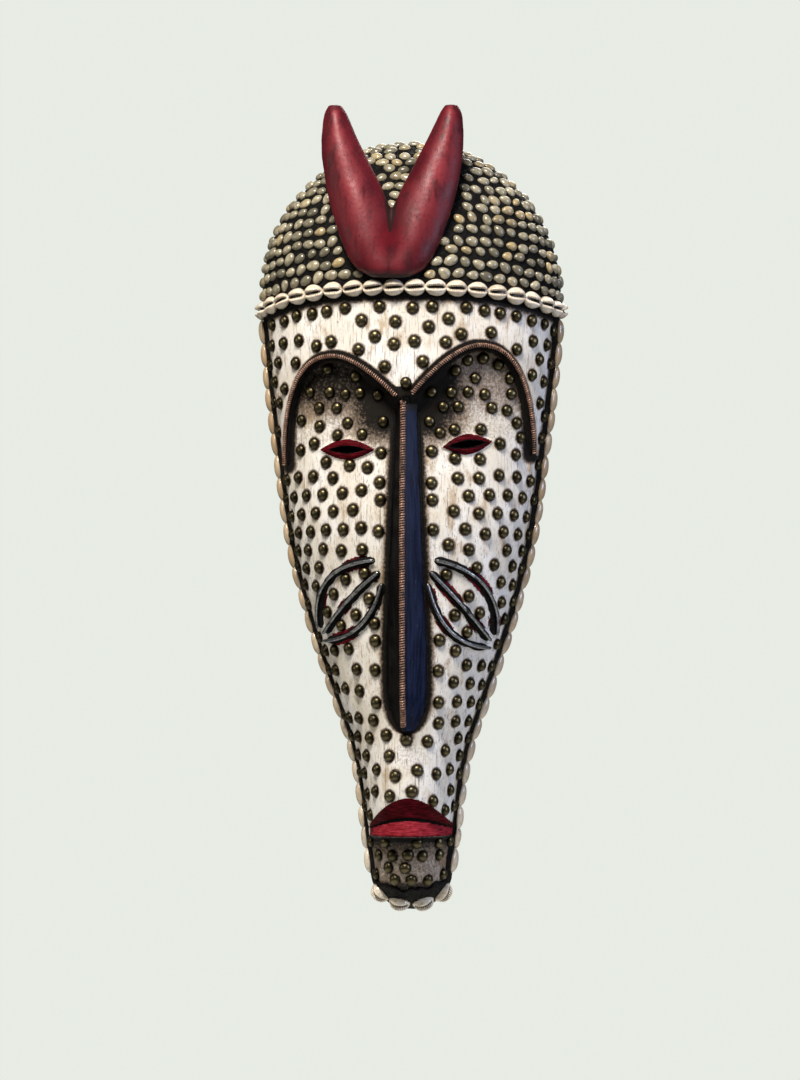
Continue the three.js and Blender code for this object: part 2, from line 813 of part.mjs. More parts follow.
// Cowries down each side, tip to tip, facing out sideways.
const plainCowrie = cowrie(sideCowrie, 6, 3, false);
for (const [side, sign] of Object.entries(sides)) {
  const line = [];
  for (let i = 0; i <= 30; i += 1) {
    const height = lerp(506, 36, i / 30);
    const back = (sideLineDepth / profile(height, 2)) ** (1 / frontFlatness);
    line.push(carved(sign * Math.acos(back), height, masticThickness + fit));
  }
  const count = Math.ceil(new THREE.CatmullRomCurve3(line).getLength() / sideCowrieSpacing);
  let row = null;
  for (const { place, along } of equalSteps(line, count)) {
    const out = new THREE.Vector3(sign, -0.12, 0).addScaledVector(along, -along.x * sign).normalize();
    const middle = place.clone().addScaledVector(out, sideCowrie.height / 2 + 2 * fit);
    const body = toSolid(setDown(plainCowrie, middle, along, out));
    row = row ? row.add(body) : body;
  }
  add(`side_cowries_${side}`, row, shell);
}

// A stiff wire to hang the mask by, looped over a nail on each side of the hollow.
const nailHeight = hookHeight - 18;
const wall = hollowSize(nailHeight).halfWidth;
const loopReach = wall - 7;
const loopRadius = nailRadius + fit + hangerRadius;
const loopTop = nailHeight + loopRadius;

function nail(sign, radius, from, to) {
  const geometry = new THREE.CylinderGeometry(radius, radius, to - from, 10);
  geometry.rotateZ(Math.PI / 2);
  geometry.translate(sign * (from + to) / 2, -hangerDepth, nailHeight);
  return toSolid(geometry);
}

const hangerPath = new THREE.QuadraticBezierCurve3(
  new THREE.Vector3(-loopReach, -hangerDepth, loopTop),
  new THREE.Vector3(0, -hangerDepth, 2 * (hookHeight + hangerRadius) - loopTop),
  new THREE.Vector3(loopReach, -hangerDepth, loopTop),
);
let hanger = tube(hangerPath.getPoints(8), hangerRadius, 6, 8);
for (const [side, sign] of Object.entries(sides)) {
  wood = wood.subtract(nail(sign, nailRadius + fit, wall - 15, wall + 10));
  const shank = nail(sign, nailRadius, loopReach - 3, wall + 9.7);
  const nailHead = nail(sign, 2.3, loopReach - 4.2, loopReach - 3);
  add(`hanger_nail_${side}`, shank.add(nailHead), steel);
  const loop = new THREE.TorusGeometry(loopRadius, hangerRadius, 5, 8);
  loop.rotateY(Math.PI / 2);
  loop.translate(sign * loopReach, -hangerDepth, nailHeight);
  hanger = hanger.add(toSolid(loop));
}
add('hanger_wire', hanger, steel);

add('cap_mastic', cap, mastic);
add('face_shell', wood, whiteWood);

export default mask;
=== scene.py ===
import json
import math
import random

import bpy
import numpy as np
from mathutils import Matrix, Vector, noise
from mathutils.kdtree import KDTree

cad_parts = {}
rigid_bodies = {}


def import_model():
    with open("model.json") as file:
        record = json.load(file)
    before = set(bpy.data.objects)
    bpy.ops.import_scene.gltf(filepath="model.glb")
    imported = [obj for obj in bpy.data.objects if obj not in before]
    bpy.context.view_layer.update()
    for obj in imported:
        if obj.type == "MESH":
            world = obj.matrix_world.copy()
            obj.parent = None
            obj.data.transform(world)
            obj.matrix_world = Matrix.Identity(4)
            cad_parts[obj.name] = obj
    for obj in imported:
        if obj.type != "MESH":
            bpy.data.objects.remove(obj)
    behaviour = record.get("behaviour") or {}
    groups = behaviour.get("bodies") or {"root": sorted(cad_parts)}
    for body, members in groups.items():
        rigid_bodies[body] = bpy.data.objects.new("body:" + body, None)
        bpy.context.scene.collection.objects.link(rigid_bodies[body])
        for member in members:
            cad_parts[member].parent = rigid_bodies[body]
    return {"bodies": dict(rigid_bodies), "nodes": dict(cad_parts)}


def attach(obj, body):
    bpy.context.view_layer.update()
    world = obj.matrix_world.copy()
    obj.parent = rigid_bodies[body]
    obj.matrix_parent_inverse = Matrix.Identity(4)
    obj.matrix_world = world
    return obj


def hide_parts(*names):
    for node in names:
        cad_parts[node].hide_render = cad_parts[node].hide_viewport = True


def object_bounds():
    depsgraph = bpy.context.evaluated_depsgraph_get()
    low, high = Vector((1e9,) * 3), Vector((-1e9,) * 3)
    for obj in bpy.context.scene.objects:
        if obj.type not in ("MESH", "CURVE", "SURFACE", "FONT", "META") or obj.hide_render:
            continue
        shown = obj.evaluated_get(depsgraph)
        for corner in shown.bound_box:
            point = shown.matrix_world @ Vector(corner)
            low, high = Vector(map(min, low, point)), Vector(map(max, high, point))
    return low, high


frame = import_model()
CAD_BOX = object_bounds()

# Shapes are worked out in millimetres. Heights are measured up from the lowest point of the mask and the
# frame's origin is the wall hook, HOOK_HEIGHT above that. to_frame() turns both into the frame's metres.
MM = 0.001
HOOK_HEIGHT = 600.0
HOOK = np.array([0.0, 0.0, HOOK_HEIGHT])
BODY = next(iter(frame["bodies"]))

# ------------------------------------------------------------------ driving dimensions, as in the CAD model

SIDES = {"left": -1.0, "right": 1.0}
HEAD_TOP, CROWN, CHIN_BOTTOM, CHIN_ROUND = 666.0, 535.0, 4.0, 34.0
STATIONS = [  # height, half width, depth
    (0, 32, 40), (34, 33, 51), (75, 38, 63), (115, 43, 69), (150, 51, 74), (185, 63, 78),
    (254, 86, 84), (323, 103.5, 88), (393, 113.5, 90), (462, 122.3, 91), (535, 127.5, 90),
]
CROWN_HALF, CROWN_DEPTH = STATIONS[-1][1], STATIONS[-1][2]
FRONT_FLATNESS = 0.86
WALL, FRONT_WALL = 12.0, 25.0
HOLLOW_BOTTOM, HOLLOW_TOP = 42.0, 644.0

BROWS = {
    "left": {"inner": (6, 447), "apex": (60, 483), "outer": (105, 388)},
    "right": {"inner": (5, 449), "apex": (62, 492), "outer": (106, 397)},
}
BROW_INNER_POWER, BROW_OUTER_POWER = 1.6, 2.5
SOCKET_DEPTH, SOCKET_EDGE, SOCKET_FOOT, SOCKET_ROOF = 13.0, 9.0, 325.0, 455.0
SOCKET_FADE, SOCKET_FADE_FROM, SOCKET_FADE_TO = 0.45, 55.0, 108.0

EYES = {
    "left": {"x": -51.0, "height": 401.5, "length": 24.0, "rise": 8.6, "tilt": math.radians(0)},
    "right": {"x": 53.0, "height": 406.0, "length": 21.0, "rise": 8.6, "tilt": math.radians(7)},
}
LID_RELIEF, SLIT_HALF_LENGTH, SLIT_HALF_HEIGHT, SLIT_DEPTH = 3.5, 15.5, 2.9, 10.0

MOUTH_MIDDLE, MOUTH_HALF, MOUTH_CORNER, MOUTH_LINE = 2.0, 35.0, 73.0, 81.0
LIP_TOP, LIP_TOP_CORNER, LIP_BOTTOM, LIP_RELIEF = 100.5, 78.0, 67.0, 11.0
UPPER_LIP_INNER, LOWER_LIP_INNER, LOWER_LIP_EDGE, MUZZLE_TOP = 2.5, 4.0, 12.0, 165.0
CHIN_DIP, LIP_DROP, CHIN_FILL = 4.0, 4.0, (8.0, 40.0)

NOSE_ROOT, NOSE_TIP, NOSE_ROOT_HALF, NOSE_HALF = 446.0, 158.0, 9.0, 17.5
NOSE_ROOT_RISE, NOSE_RISE, NOSE_SINK = 10.0, 22.0, 9.0
NOSE_MIDDLE, RIDGE_MIDDLE = 1.0, -1.5

MASTIC, FIT = 2.8, 0.3
RIM_BAND, CAP_EDGE_MIDDLE, CAP_EDGE_SIDE = 18.0, 533.0, 515.0
BED_TOP, COIL_RADIUS, NOSE_COIL_RADIUS, WIRE_RADIUS = 1.9, 2.1, 2.7, 1.5
CHIN_MASTIC_TOP, CHIN_MASTIC_SIDES = 20.0, 30.0

COWRIE_LENGTH, COWRIE_WIDTH, COWRIE_HEIGHT = 18.6, 14.5, 6.6
SIDE_COWRIE_LENGTH, SIDE_COWRIE_WIDTH, SIDE_COWRIE_HEIGHT = 22.0, 13.0, 4.2
SIDE_COWRIE_SCALE = (
    SIDE_COWRIE_LENGTH / COWRIE_LENGTH, SIDE_COWRIE_WIDTH / COWRIE_WIDTH, SIDE_COWRIE_HEIGHT / COWRIE_HEIGHT,
)
CAP_COWRIES, SIDE_COWRIE_SPACING, SIDE_LINE = 20, 19.8, 10.0
CHIN_COWRIES = [(-26, 16), (-9, 8), (11.5, 8), (29, 16)]  # across and height

CREST_MIDDLE, CREST_LEAN, CREST_FOOT, CREST_FOOT_DEPTH = -12.0, math.radians(13), 549.0, 97.0
HORN_STATIONS = np.array([  # height, middle, half width, half thickness
    (549, 4, 9, 5), (553, 8, 18, 10), (563, 12, 23, 13), (581, 18, 25.5, 15), (605, 25, 26.5, 15),
    (630, 33.5, 24, 14), (655, 42, 19.5, 12.5), (672, 46.5, 15.5, 11),
    (688, 49.5, 11.5, 9.5), (697, 50.5, 8.5, 7), (700, 50.5, 4.5, 4),
])
WEB_FOOT, WEB_TOP, WEB_HALF, WEB_BLEND = 551.0, 600.0, 15.0, 6.0

TACK_RADIUS, TACK_RISE = 5.1, 4.0
CHEEK_WIRES = [  # start, bend and end of each wire, mirrored on the left
    ((26, 306), (83, 301), (76, 247)),
    ((22, 296), (51, 273), (71, 242.5)),
    ((19.5, 286), (31, 238), (70.5, 236.5)),
]
CHEEK_DROP = {"left": 0.0, "right": 6.0}
CHEEK_REACH = {"left": 1.0, "right": 0.975}
PINNED_TACKS = {
    "brow_tack": (1.0, 459.0),
    "cheek_tack_left": (-77.0, 239.0),
    "cheek_tack_right": (75.0, 233.0),
}

# ------------------------------------------------------------------ what only this scene has

# Clear space that a tack keeps from the middle or the edge of what the face carries.
RIM_CLEARANCE, CAP_CLEARANCE, NOSE_CLEARANCE, PINNED_CLEARANCE = 4.5, 6.0, 8.5, 12.5
BROW_CLEARANCE, WIRE_CLEARANCE, LIP_CLEARANCE, LID_CLEARANCE = 7.6, 7.2, (5.0, 5.2), 1.42
TACK_ROWS = {  # distance from what the row follows, and spacing
    "above brow": (11.0, 19.0), "below brow": (11.5, 19.0), "nose": (10.0, 19.5), "cap": (8.5, 21.0),
    "eye": (6.5, 16.5), "upper lip": (6.0, 15.0), "lower lip": (5.6, 15.0),
}
EYE_RING_RISE = 14.0
CHIN_TACK_ROWS = [(50.0, -26, 26), (39.5, -17, 12), (28.5, -12, 17)]  # height, from and to across

SHELL_ROW, SHELL_SPACING, SHELL_GAP, SHELL_FIRST_ROW, SHELL_LAST_TURN = 9.9, 12.2, 8.9, 20.5, 1.52
SHELL_TOP = HEAD_TOP + MASTIC - 1.0

BROW_COIL = {"radius": COIL_RADIUS, "pitch": 2.0, "gauge": 0.58, "core": COIL_RADIUS - 0.85}
NOSE_COIL = {"radius": NOSE_COIL_RADIUS, "pitch": 2.2, "gauge": 0.66, "core": NOSE_COIL_RADIUS - 1.0}
# The width of each side of a bed of mastic at the start and the end of its path, and how high the beds rise.
BROW_BED_INSIDE, BROW_BED_OUTSIDE, BROW_BED_RISE = (5.4, 2.5), (2.7, 2.1), 2.2
NOSE_BED_SIDE, NOSE_BED_RISE = (1.7, 1.3), 1.5
CHEEK_BED_SIDE, CHEEK_BED_RISE = (4.2, 3.6), 1.9
RIM_SECTION = [  # depth in front of the wall and how far proud of the wood, round one section of the band
    (0.05, -0.6), (0.05, 1.4), (0.8, 2.4), (3, 2.8), (6, 2.9), (9, 2.9), (12, 2.9), (15, 2.8),
    (17, 2.4), (18.6, 1.4), (19.4, 0.2), (19.6, -0.8),
]
FULL_COWRIE, SMALL_COWRIE = (72, 26), (44, 16)  # points round and rings

rng = random.Random(7)
seeded = np.random.default_rng(7)


# ------------------------------------------------------------------ camera and light

CAMERA_AZIMUTH = math.radians(4.0)
CAMERA_DISTANCE = 6.0
TARGET = Vector((-0.0069, -0.05, -0.2766))
FIELD_HEIGHT = 0.9364

LIGHTS = {  # place, width and height, watts, colour
    "key_light": ((-0.28, -1.22, 1.30), (0.7, 0.5), 61.0, (1.0, 0.95, 0.87)),
    "cool_side_light": ((1.7, -0.75, 0.15), (0.4, 1.0), 17.0, (0.66, 0.74, 1.0)),
    "warm_side_light": ((-1.7, -0.7, 0.1), (0.4, 1.0), 5.0, (1.0, 0.90, 0.78)),
    "back_light": ((0.3, 1.5, 1.0), (1.2, 0.8), 16.0, (1.0, 0.98, 0.95)),
}
ROOM_LIGHT, ROOM_STRENGTH = (0.86, 0.9, 0.84, 1.0), 0.11
BACKDROP = (0.80, 0.835, 0.775, 1.0)
FLOOR_RADIUS, FLOOR_DROP = 0.8, 0.30


def add_camera():
    data = bpy.data.cameras.new("camera")
    data.sensor_fit = "VERTICAL"
    data.sensor_height = 36.0
    data.lens = data.sensor_height * CAMERA_DISTANCE / FIELD_HEIGHT
    data.clip_end = 50.0
    camera = bpy.data.objects.new("camera", data)
    away = Vector((math.sin(CAMERA_AZIMUTH), -math.cos(CAMERA_AZIMUTH), 0.0))
    camera.location = TARGET + away * CAMERA_DISTANCE
    camera.rotation_euler = (-away).to_track_quat("-Z", "Y").to_euler()
    bpy.context.scene.collection.objects.link(camera)
    bpy.context.scene.camera = camera


def add_softbox(name, place, size, power, colour):
    data = bpy.data.lights.new(name, "AREA")
    data.shape = "RECTANGLE"
    data.size, data.size_y = size
    data.energy = power
    data.color = colour
    lamp = bpy.data.objects.new(name, data)
    lamp.location = place
    lamp.rotation_euler = (TARGET - Vector(place)).to_track_quat("-Z", "Y").to_euler()
    bpy.context.scene.collection.objects.link(lamp)


def add_studio():
    """Four soft lights, a dim room, and a pale backdrop that only the camera sees."""
    for name, light in LIGHTS.items():
        add_softbox(name, *light)
    world = bpy.data.worlds.new("studio")
    world.use_nodes = True
    tree = world.node_tree
    room = tree.nodes["Background"]
    room.inputs["Color"].default_value = ROOM_LIGHT
    room.inputs["Strength"].default_value = ROOM_STRENGTH
    seen = tree.nodes.new("ShaderNodeBackground")
    seen.inputs["Color"].default_value = BACKDROP
    seen.inputs["Strength"].default_value = 1.0
    path = tree.nodes.new("ShaderNodeLightPath")
    choose = tree.nodes.new("ShaderNodeMixShader")
    tree.links.new(path.outputs["Is Camera Ray"], choose.inputs[0])
    tree.links.new(room.outputs[0], choose.inputs[1])
    tree.links.new(seen.outputs[0], choose.inputs[2])
    tree.links.new(choose.outputs[0], tree.nodes["World Output"].inputs["Surface"])
    bpy.context.scene.world = world
    bpy.context.scene.view_settings.view_transform = "Standard"


# ------------------------------------------------------------------ the carved surface

def smoothstep(value, low, high):
    t = np.clip((value - low) / (high - low), 0.0, 1.0)
    return t * t * (3.0 - 2.0 * t)


def fade(value, low, high):
    """1 up to `low` and 0 from `high` on."""
    return 1 - smoothstep(value, low, high)


def lerp(a, b, t):
    return a + (b - a) * t


def unit(vectors):
    return vectors / np.linalg.norm(vectors, axis=-1, keepdims=True)


def on_side(side, x):
    return (x < 0) if side == "left" else (x >= 0)


def profile_at(height, column):
    """A smooth curve through one column of STATIONS."""
    last = len(STATIONS) - 1
    i = 0
    while i < last - 1 and height > STATIONS[i + 1][0]:
        i += 1

    def slope(k):
        if k == last:
            return 0.0
        a, b = STATIONS[max(k - 1, 0)], STATIONS[k + 1]
        return (b[column] - a[column]) / (b[0] - a[0])

    low, high = STATIONS[i], STATIONS[i + 1]
    span = high[0] - low[0]
    t = min(max((height - low[0]) / span, 0.0), 1.0)
    t2, t3 = t * t, t * t * t
    return ((2 * t3 - 3 * t2 + 1) * low[column] + (t3 - 2 * t2 + t) * span * slope(i)
            + (3 * t2 - 2 * t3) * high[column] + (t3 - t2) * span * slope(i + 1))


LEVELS = np.arange(0.0, 701.0, 0.5)
HALF_WIDTHS = np.array([profile_at(h, 1) for h in LEVELS])
DEPTHS = np.array([profile_at(h, 2) for h in LEVELS])


def half_width(height):
    return np.interp(height, LEVELS, HALF_WIDTHS)


def full_depth(height):
    return np.interp(height, LEVELS, DEPTHS)


def round_ends(height, grow=0.0):
    up = np.clip((height - CROWN) / (HEAD_TOP + grow - CROWN), 0.0, 1.0)
    down = np.clip((CHIN_ROUND - height) / (CHIN_ROUND - CHIN_BOTTOM + grow), 0.0, 1.0)
    return np.sqrt(np.maximum(1 - up * up, 0.0)) * np.sqrt(np.maximum(1 - down * down, 0.0))


def brow_line(brow, across):
    (inner_x, inner_h), (apex_x, apex_h), (outer_x, outer_h) = brow["inner"], brow["apex"], brow["outer"]
    left = np.clip((apex_x - across) / (apex_x - inner_x), 0.0, 1.0)
    out = np.clip((across - apex_x) / (outer_x - apex_x), 0.0, 1.0)
    inside = inner_h + (apex_h - inner_h) * (1 - left ** BROW_INNER_POWER)
    outside = outer_h + (apex_h - outer_h) * (1 - out ** BROW_OUTER_POWER) ** (1 / BROW_OUTER_POWER)
    return np.where(across <= apex_x, inside, outside)


def inside_brow(brow, across, height):
    """Distance below the brow line, in millimetres, and negative above it."""
    step = 0.5
    line = brow_line(brow, across)
    steep = (brow_line(brow, across + step) - line) / step
    return (line - height) / np.hypot(1.0, steep)


def socket_relief(x, height):
    across = np.abs(x)
    total = np.zeros_like(x + height)
    for side, brow in BROWS.items():
        mine = on_side(side, x) & (across <= brow["outer"][0])
        inside = inside_brow(brow, across, height)
        depth = smoothstep(inside, 0.0, SOCKET_EDGE) * smoothstep(height, SOCKET_FOOT, SOCKET_ROOF)
        depth = depth * (1 - SOCKET_FADE * smoothstep(across, SOCKET_FADE_FROM, SOCKET_FADE_TO))
        total = total + np.where(mine, -SOCKET_DEPTH * depth, 0.0)
    return total


def in_eye(eye, x, height):
    """Places measured along and across an eye, from its middle."""
    dx, dh = x - eye["x"], height - eye["height"]
    cos, sin = math.cos(eye["tilt"]), math.sin(eye["tilt"])
    return dx * cos + dh * sin, dh * cos - dx * sin


def lid_measure(eye, x, height):
    """0 in the middle of an eye and 1 on the almond outline of its painted lids."""
    along, across = in_eye(eye, x, height)
    return (np.abs(along) / eye["length"]) ** 1.8 + np.abs(across) / eye["rise"]


def lid_relief(x, height):
    total = np.zeros_like(x + height)
    for side, eye in EYES.items():
        raised = LID_RELIEF * fade(lid_measure(eye, x, height), 0.7, 1.25)
        total = total + np.where(on_side(side, x), raised, 0.0)
    return total


def mouth_lines(x):
    """How far across the mouth x lies, and the heights of its upper edge and of the line between the lips."""
    s = np.clip((x - MOUTH_MIDDLE) / MOUTH_HALF, -1.4, 1.4)
    bow = np.minimum(s * s, 1.0)
    return s, lerp(LIP_TOP, LIP_TOP_CORNER, bow), lerp(MOUTH_LINE, MOUTH_CORNER, bow)


def mouth_relief(x, height):
    s, top, line = mouth_lines(x)
    sides = 1 - 0.6 * smoothstep(np.abs(s), 0.6, 1.3)
    muzzle = LIP_RELIEF * fade(height, top, MUZZLE_TOP)
    upper = lerp(UPPER_LIP_INNER, LIP_RELIEF, (height - line) / (top - line))
    lower = lerp(LOWER_LIP_EDGE, LOWER_LIP_INNER, (height - LIP_BOTTOM) / (line - LIP_BOTTOM))
    drop = LIP_BOTTOM - height
    chin = lerp(LOWER_LIP_EDGE, -CHIN_DIP * fade(drop, *CHIN_FILL), smoothstep(drop, 0.0, LIP_DROP))
    below = np.where(height > line, upper, np.where(height > LIP_BOTTOM, lower, chin))
    return np.where(height > top, muzzle, below) * sides


def relief(x, height):
    return socket_relief(x, height) + lid_relief(x, height) + mouth_relief(x, height)


def carved(turn, height, grow=0.0):
    """A point of the carved surface: turn is -90 degrees at the left rim and 90 at the right rim."""
    turn, height = np.broadcast_arrays(np.asarray(turn, float), np.asarray(height, float))
    ends = round_ends(height, grow)
    front = np.maximum(np.cos(turn), 0.0) ** FRONT_FLATNESS
    push = relief(half_width(height) * ends * np.sin(turn), height) * np.minimum(1.0, 2 * front) * ends
    across = (half_width(height) + grow) * ends * np.sin(turn)
    forward = (full_depth(height) + grow) * ends * front + push
    return np.stack([across, -forward, height], -1)


def turn_at(x, height):
    return np.arcsin(np.clip(x / (half_width(height) * round_ends(height)), -1.0, 1.0))


def on_face(x, height, lift=0.0):
    return carved(turn_at(np.asarray(x, float), height), height, lift)


def normal_at(turn, height, grow=0.0):
    step = 0.012
    across = carved(turn + step, height, grow) - carved(turn - step, height, grow)
    up = carved(turn, height + 1.0, grow) - carved(turn, height - 1.0, grow)
    return unit(np.cross(across, up))


def smooth_normal(turn, height):
    """The normal without the fine relief, for what stands on the face."""
    plain = np.stack([np.sin(turn) / half_width(height), -np.cos(turn) / full_depth(height), 0 * height], -1)
    return unit(0.7 * normal_at(turn, height) + 0.3 * unit(plain))


def outward_at(places, lift):
    """Points on the face at (x, height) places, raised by `lift`, and the outward direction at each."""
    x, height = places[:, 0], places[:, 1]
    turn = turn_at(x, height)
    out = smooth_normal(turn, height)
    return carved(turn, height) + out * lift, out


# ------------------------------------------------------------------ mesh helpers

def to_frame(points):
    """Points in millimetres as places in the frame."""
    return (np.asarray(points, float) - HOOK) * MM


def mesh_points(mesh):
    """The points of a mesh in millimetres."""
    flat = np.empty(len(mesh.vertices) * 3)
    mesh.vertices.foreach_get("co", flat)
    return flat.reshape(-1, 3) / MM + HOOK


def set_values(mesh, values):
    """Point values that a material reads as attributes."""
    for key, data in values.items():
        layer = mesh.attributes.new(key, "FLOAT", "POINT")
        layer.data.foreach_set("value", np.asarray(data, np.float32))


def make_piece(name, shape, materials, nodes=()):
    """A mesh object riding on the mask and standing for CAD nodes. A shape is a list of points in
    millimetres, a list of faces and, where its material reads any, values by point."""
    points, faces, *values = shape
    mesh = bpy.data.meshes.new(name)
    mesh.from_pydata(to_frame(points).tolist(), [], faces)
    mesh.update()
    for by_point in values:
        set_values(mesh, by_point)
    mesh.polygons.foreach_set("use_smooth", [True] * len(mesh.polygons))
    for material in materials:
        mesh.materials.append(material)
    piece = bpy.data.objects.new(name, mesh)
    bpy.context.scene.collection.objects.link(piece)
    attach(piece, BODY)
    if nodes:
        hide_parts(*nodes)
    return piece


def apply_modifiers(piece):
    depsgraph = bpy.context.evaluated_depsgraph_get()
    mesh = bpy.data.meshes.new_from_object(piece.evaluated_get(depsgraph))
    piece.modifiers.clear()
    piece.data = mesh


def join_shapes(shapes):
    """One shape from many."""
    points, faces, values = [], [], []
    start = 0
    for shape_points, shape_faces, *shape_values in shapes:
        points.append(shape_points)
        faces.extend([tuple(i + start for i in face) for face in shape_faces])
        values.extend(shape_values)
        start += len(shape_points)
    joined = {key: np.concatenate([v[key] for v in values]) for key in values[0]} if values else {}
    return np.vstack(points), faces, joined


def grid_faces(rows, columns, wrap=False, start=0, flip=False):
    faces = []
    for r in range(rows - 1):
        for c in range(columns if wrap else columns - 1):
            a = start + r * columns + c
            b = start + r * columns + (c + 1) % columns
            quad = (a, b, b + columns, a + columns)
            faces.append(quad[::-1] if flip else quad)
    return faces


def dome_faces(rings, segments):
    """Faces of a dome: point 0 is its crown, its rings of points follow downwards, and its foot is flat."""
    faces = [(0, 1 + i, 1 + (i + 1) % segments) for i in range(segments)]
    for start in range(1, 1 + (rings - 1) * segments, segments):
        for i in range(segments):
            a, b = start + i, start + (i + 1) % segments
            faces.append((a, a + segments, b + segments, b))
    foot = 1 + (rings - 1) * segments
    faces.append(tuple(foot + i for i in range(segments))[::-1])
    return faces


def closed_rings(rings):
    """A closed skin over rings that all have the same count."""
    rings = np.asarray(rings, float)
    rows, columns = rings.shape[:2]
    faces = grid_faces(rows, columns, wrap=True)
    points = np.vstack([rings.reshape(-1, 3), rings[0].mean(0), rings[-1].mean(0)])
    first, last = rows * columns, rows * columns + 1
    for c in range(columns):
        d = (c + 1) % columns
        faces.append((first, d, c))
        faces.append((last, (rows - 1) * columns + c, (rows - 1) * columns + d))
    return points, faces


def running_length(path):
    """The distance of each point along a path."""
    spans = np.linalg.norm(np.diff(path, axis=0), axis=1)
    return np.concatenate([[0.0], np.cumsum(spans)])


def along_path(path, step):
    """The path again with points at equal steps, and the distance of each point."""
    path = np.asarray(path, float)
    distance = running_length(path)
    count = max(int(round(distance[-1] / step)), 2) + 1
    at = np.linspace(0.0, distance[-1], count)
    return np.stack([np.interp(at, distance, column) for column in path.T], -1), at


def stretches(line, count):
    """The middle of each of `count` equal stretches of an even line, and the line's direction there."""
    last = len(line) - 1
    for i in range(count):
        k = int((i + 0.5) / count * last)
        yield line[k], line[min(k + 3, last)] - line[max(k - 3, 0)]


def averaged(values):
    """Each value as the mean of the nine around it."""
    return np.convolve(np.pad(values, 4, mode="edge"), np.ones(9) / 9, mode="valid")


def path_frames(path, outward):
    """Outward and sideways directions along a path."""
    tangent = unit(np.gradient(path, axis=0))
    out = unit(outward - (outward * tangent).sum(1, keepdims=True) * tangent)
    return out, np.cross(tangent, out)


def swept_tube(path, outward, radii, sides=12):
    out, side = path_frames(path, outward)
    angles = np.linspace(0.0, 2 * np.pi, sides, endpoint=False)[None, :, None]
    radii = np.broadcast_to(np.asarray(radii, float), (len(path),))[:, None, None]
    round_path = np.cos(angles) * out[:, None] + np.sin(angles) * side[:, None]
    return closed_rings(path[:, None] + radii * round_path)


def winding(path, outward, radius, pitch, gauge):
    """A wire of radius `gauge` wound round a path at equal pitch."""
    fine, at = along_path(np.hstack([path, outward]), pitch / 12)
    centre = fine[:, :3]
    out, side = path_frames(centre, fine[:, 3:])
    phase = (at / pitch * 2 * np.pi)[:, None]
    drift = seeded.standard_normal(len(at)).cumsum()
    reach = radius - gauge + 0.06 * np.sin(at * 0.9) + 0.001 * drift
    wire = centre + reach[:, None] * (np.cos(phase) * out + np.sin(phase) * side)
    return swept_tube(wire, wire - centre, gauge, 6)


def set_down(points, place, along, out):
    """Points turned so that their X runs along and their Z outward, and moved to a place."""
    z = unit(np.asarray(out, float))
    y = unit(np.cross(z, along))
    x = np.cross(y, z)
    return points[:, :1] * x + points[:, 1:2] * y + points[:, 2:3] * z + np.asarray(place)


def fine_noise(points, size, seed=0.0):
    """Smooth noise from about -1 to 1 with features of `size` millimetres."""
    shift = Vector((seed * 7.3, seed * 3.1, seed * 11.7))
    return np.array([noise.noise(Vector(p) / size + shift) for p in points])


def tree_of(places):
    tree = KDTree(len(places))
    for i, place in enumerate(places):
        tree.insert(place, i)
    tree.balance()
    return tree


# ------------------------------------------------------------------ node materials

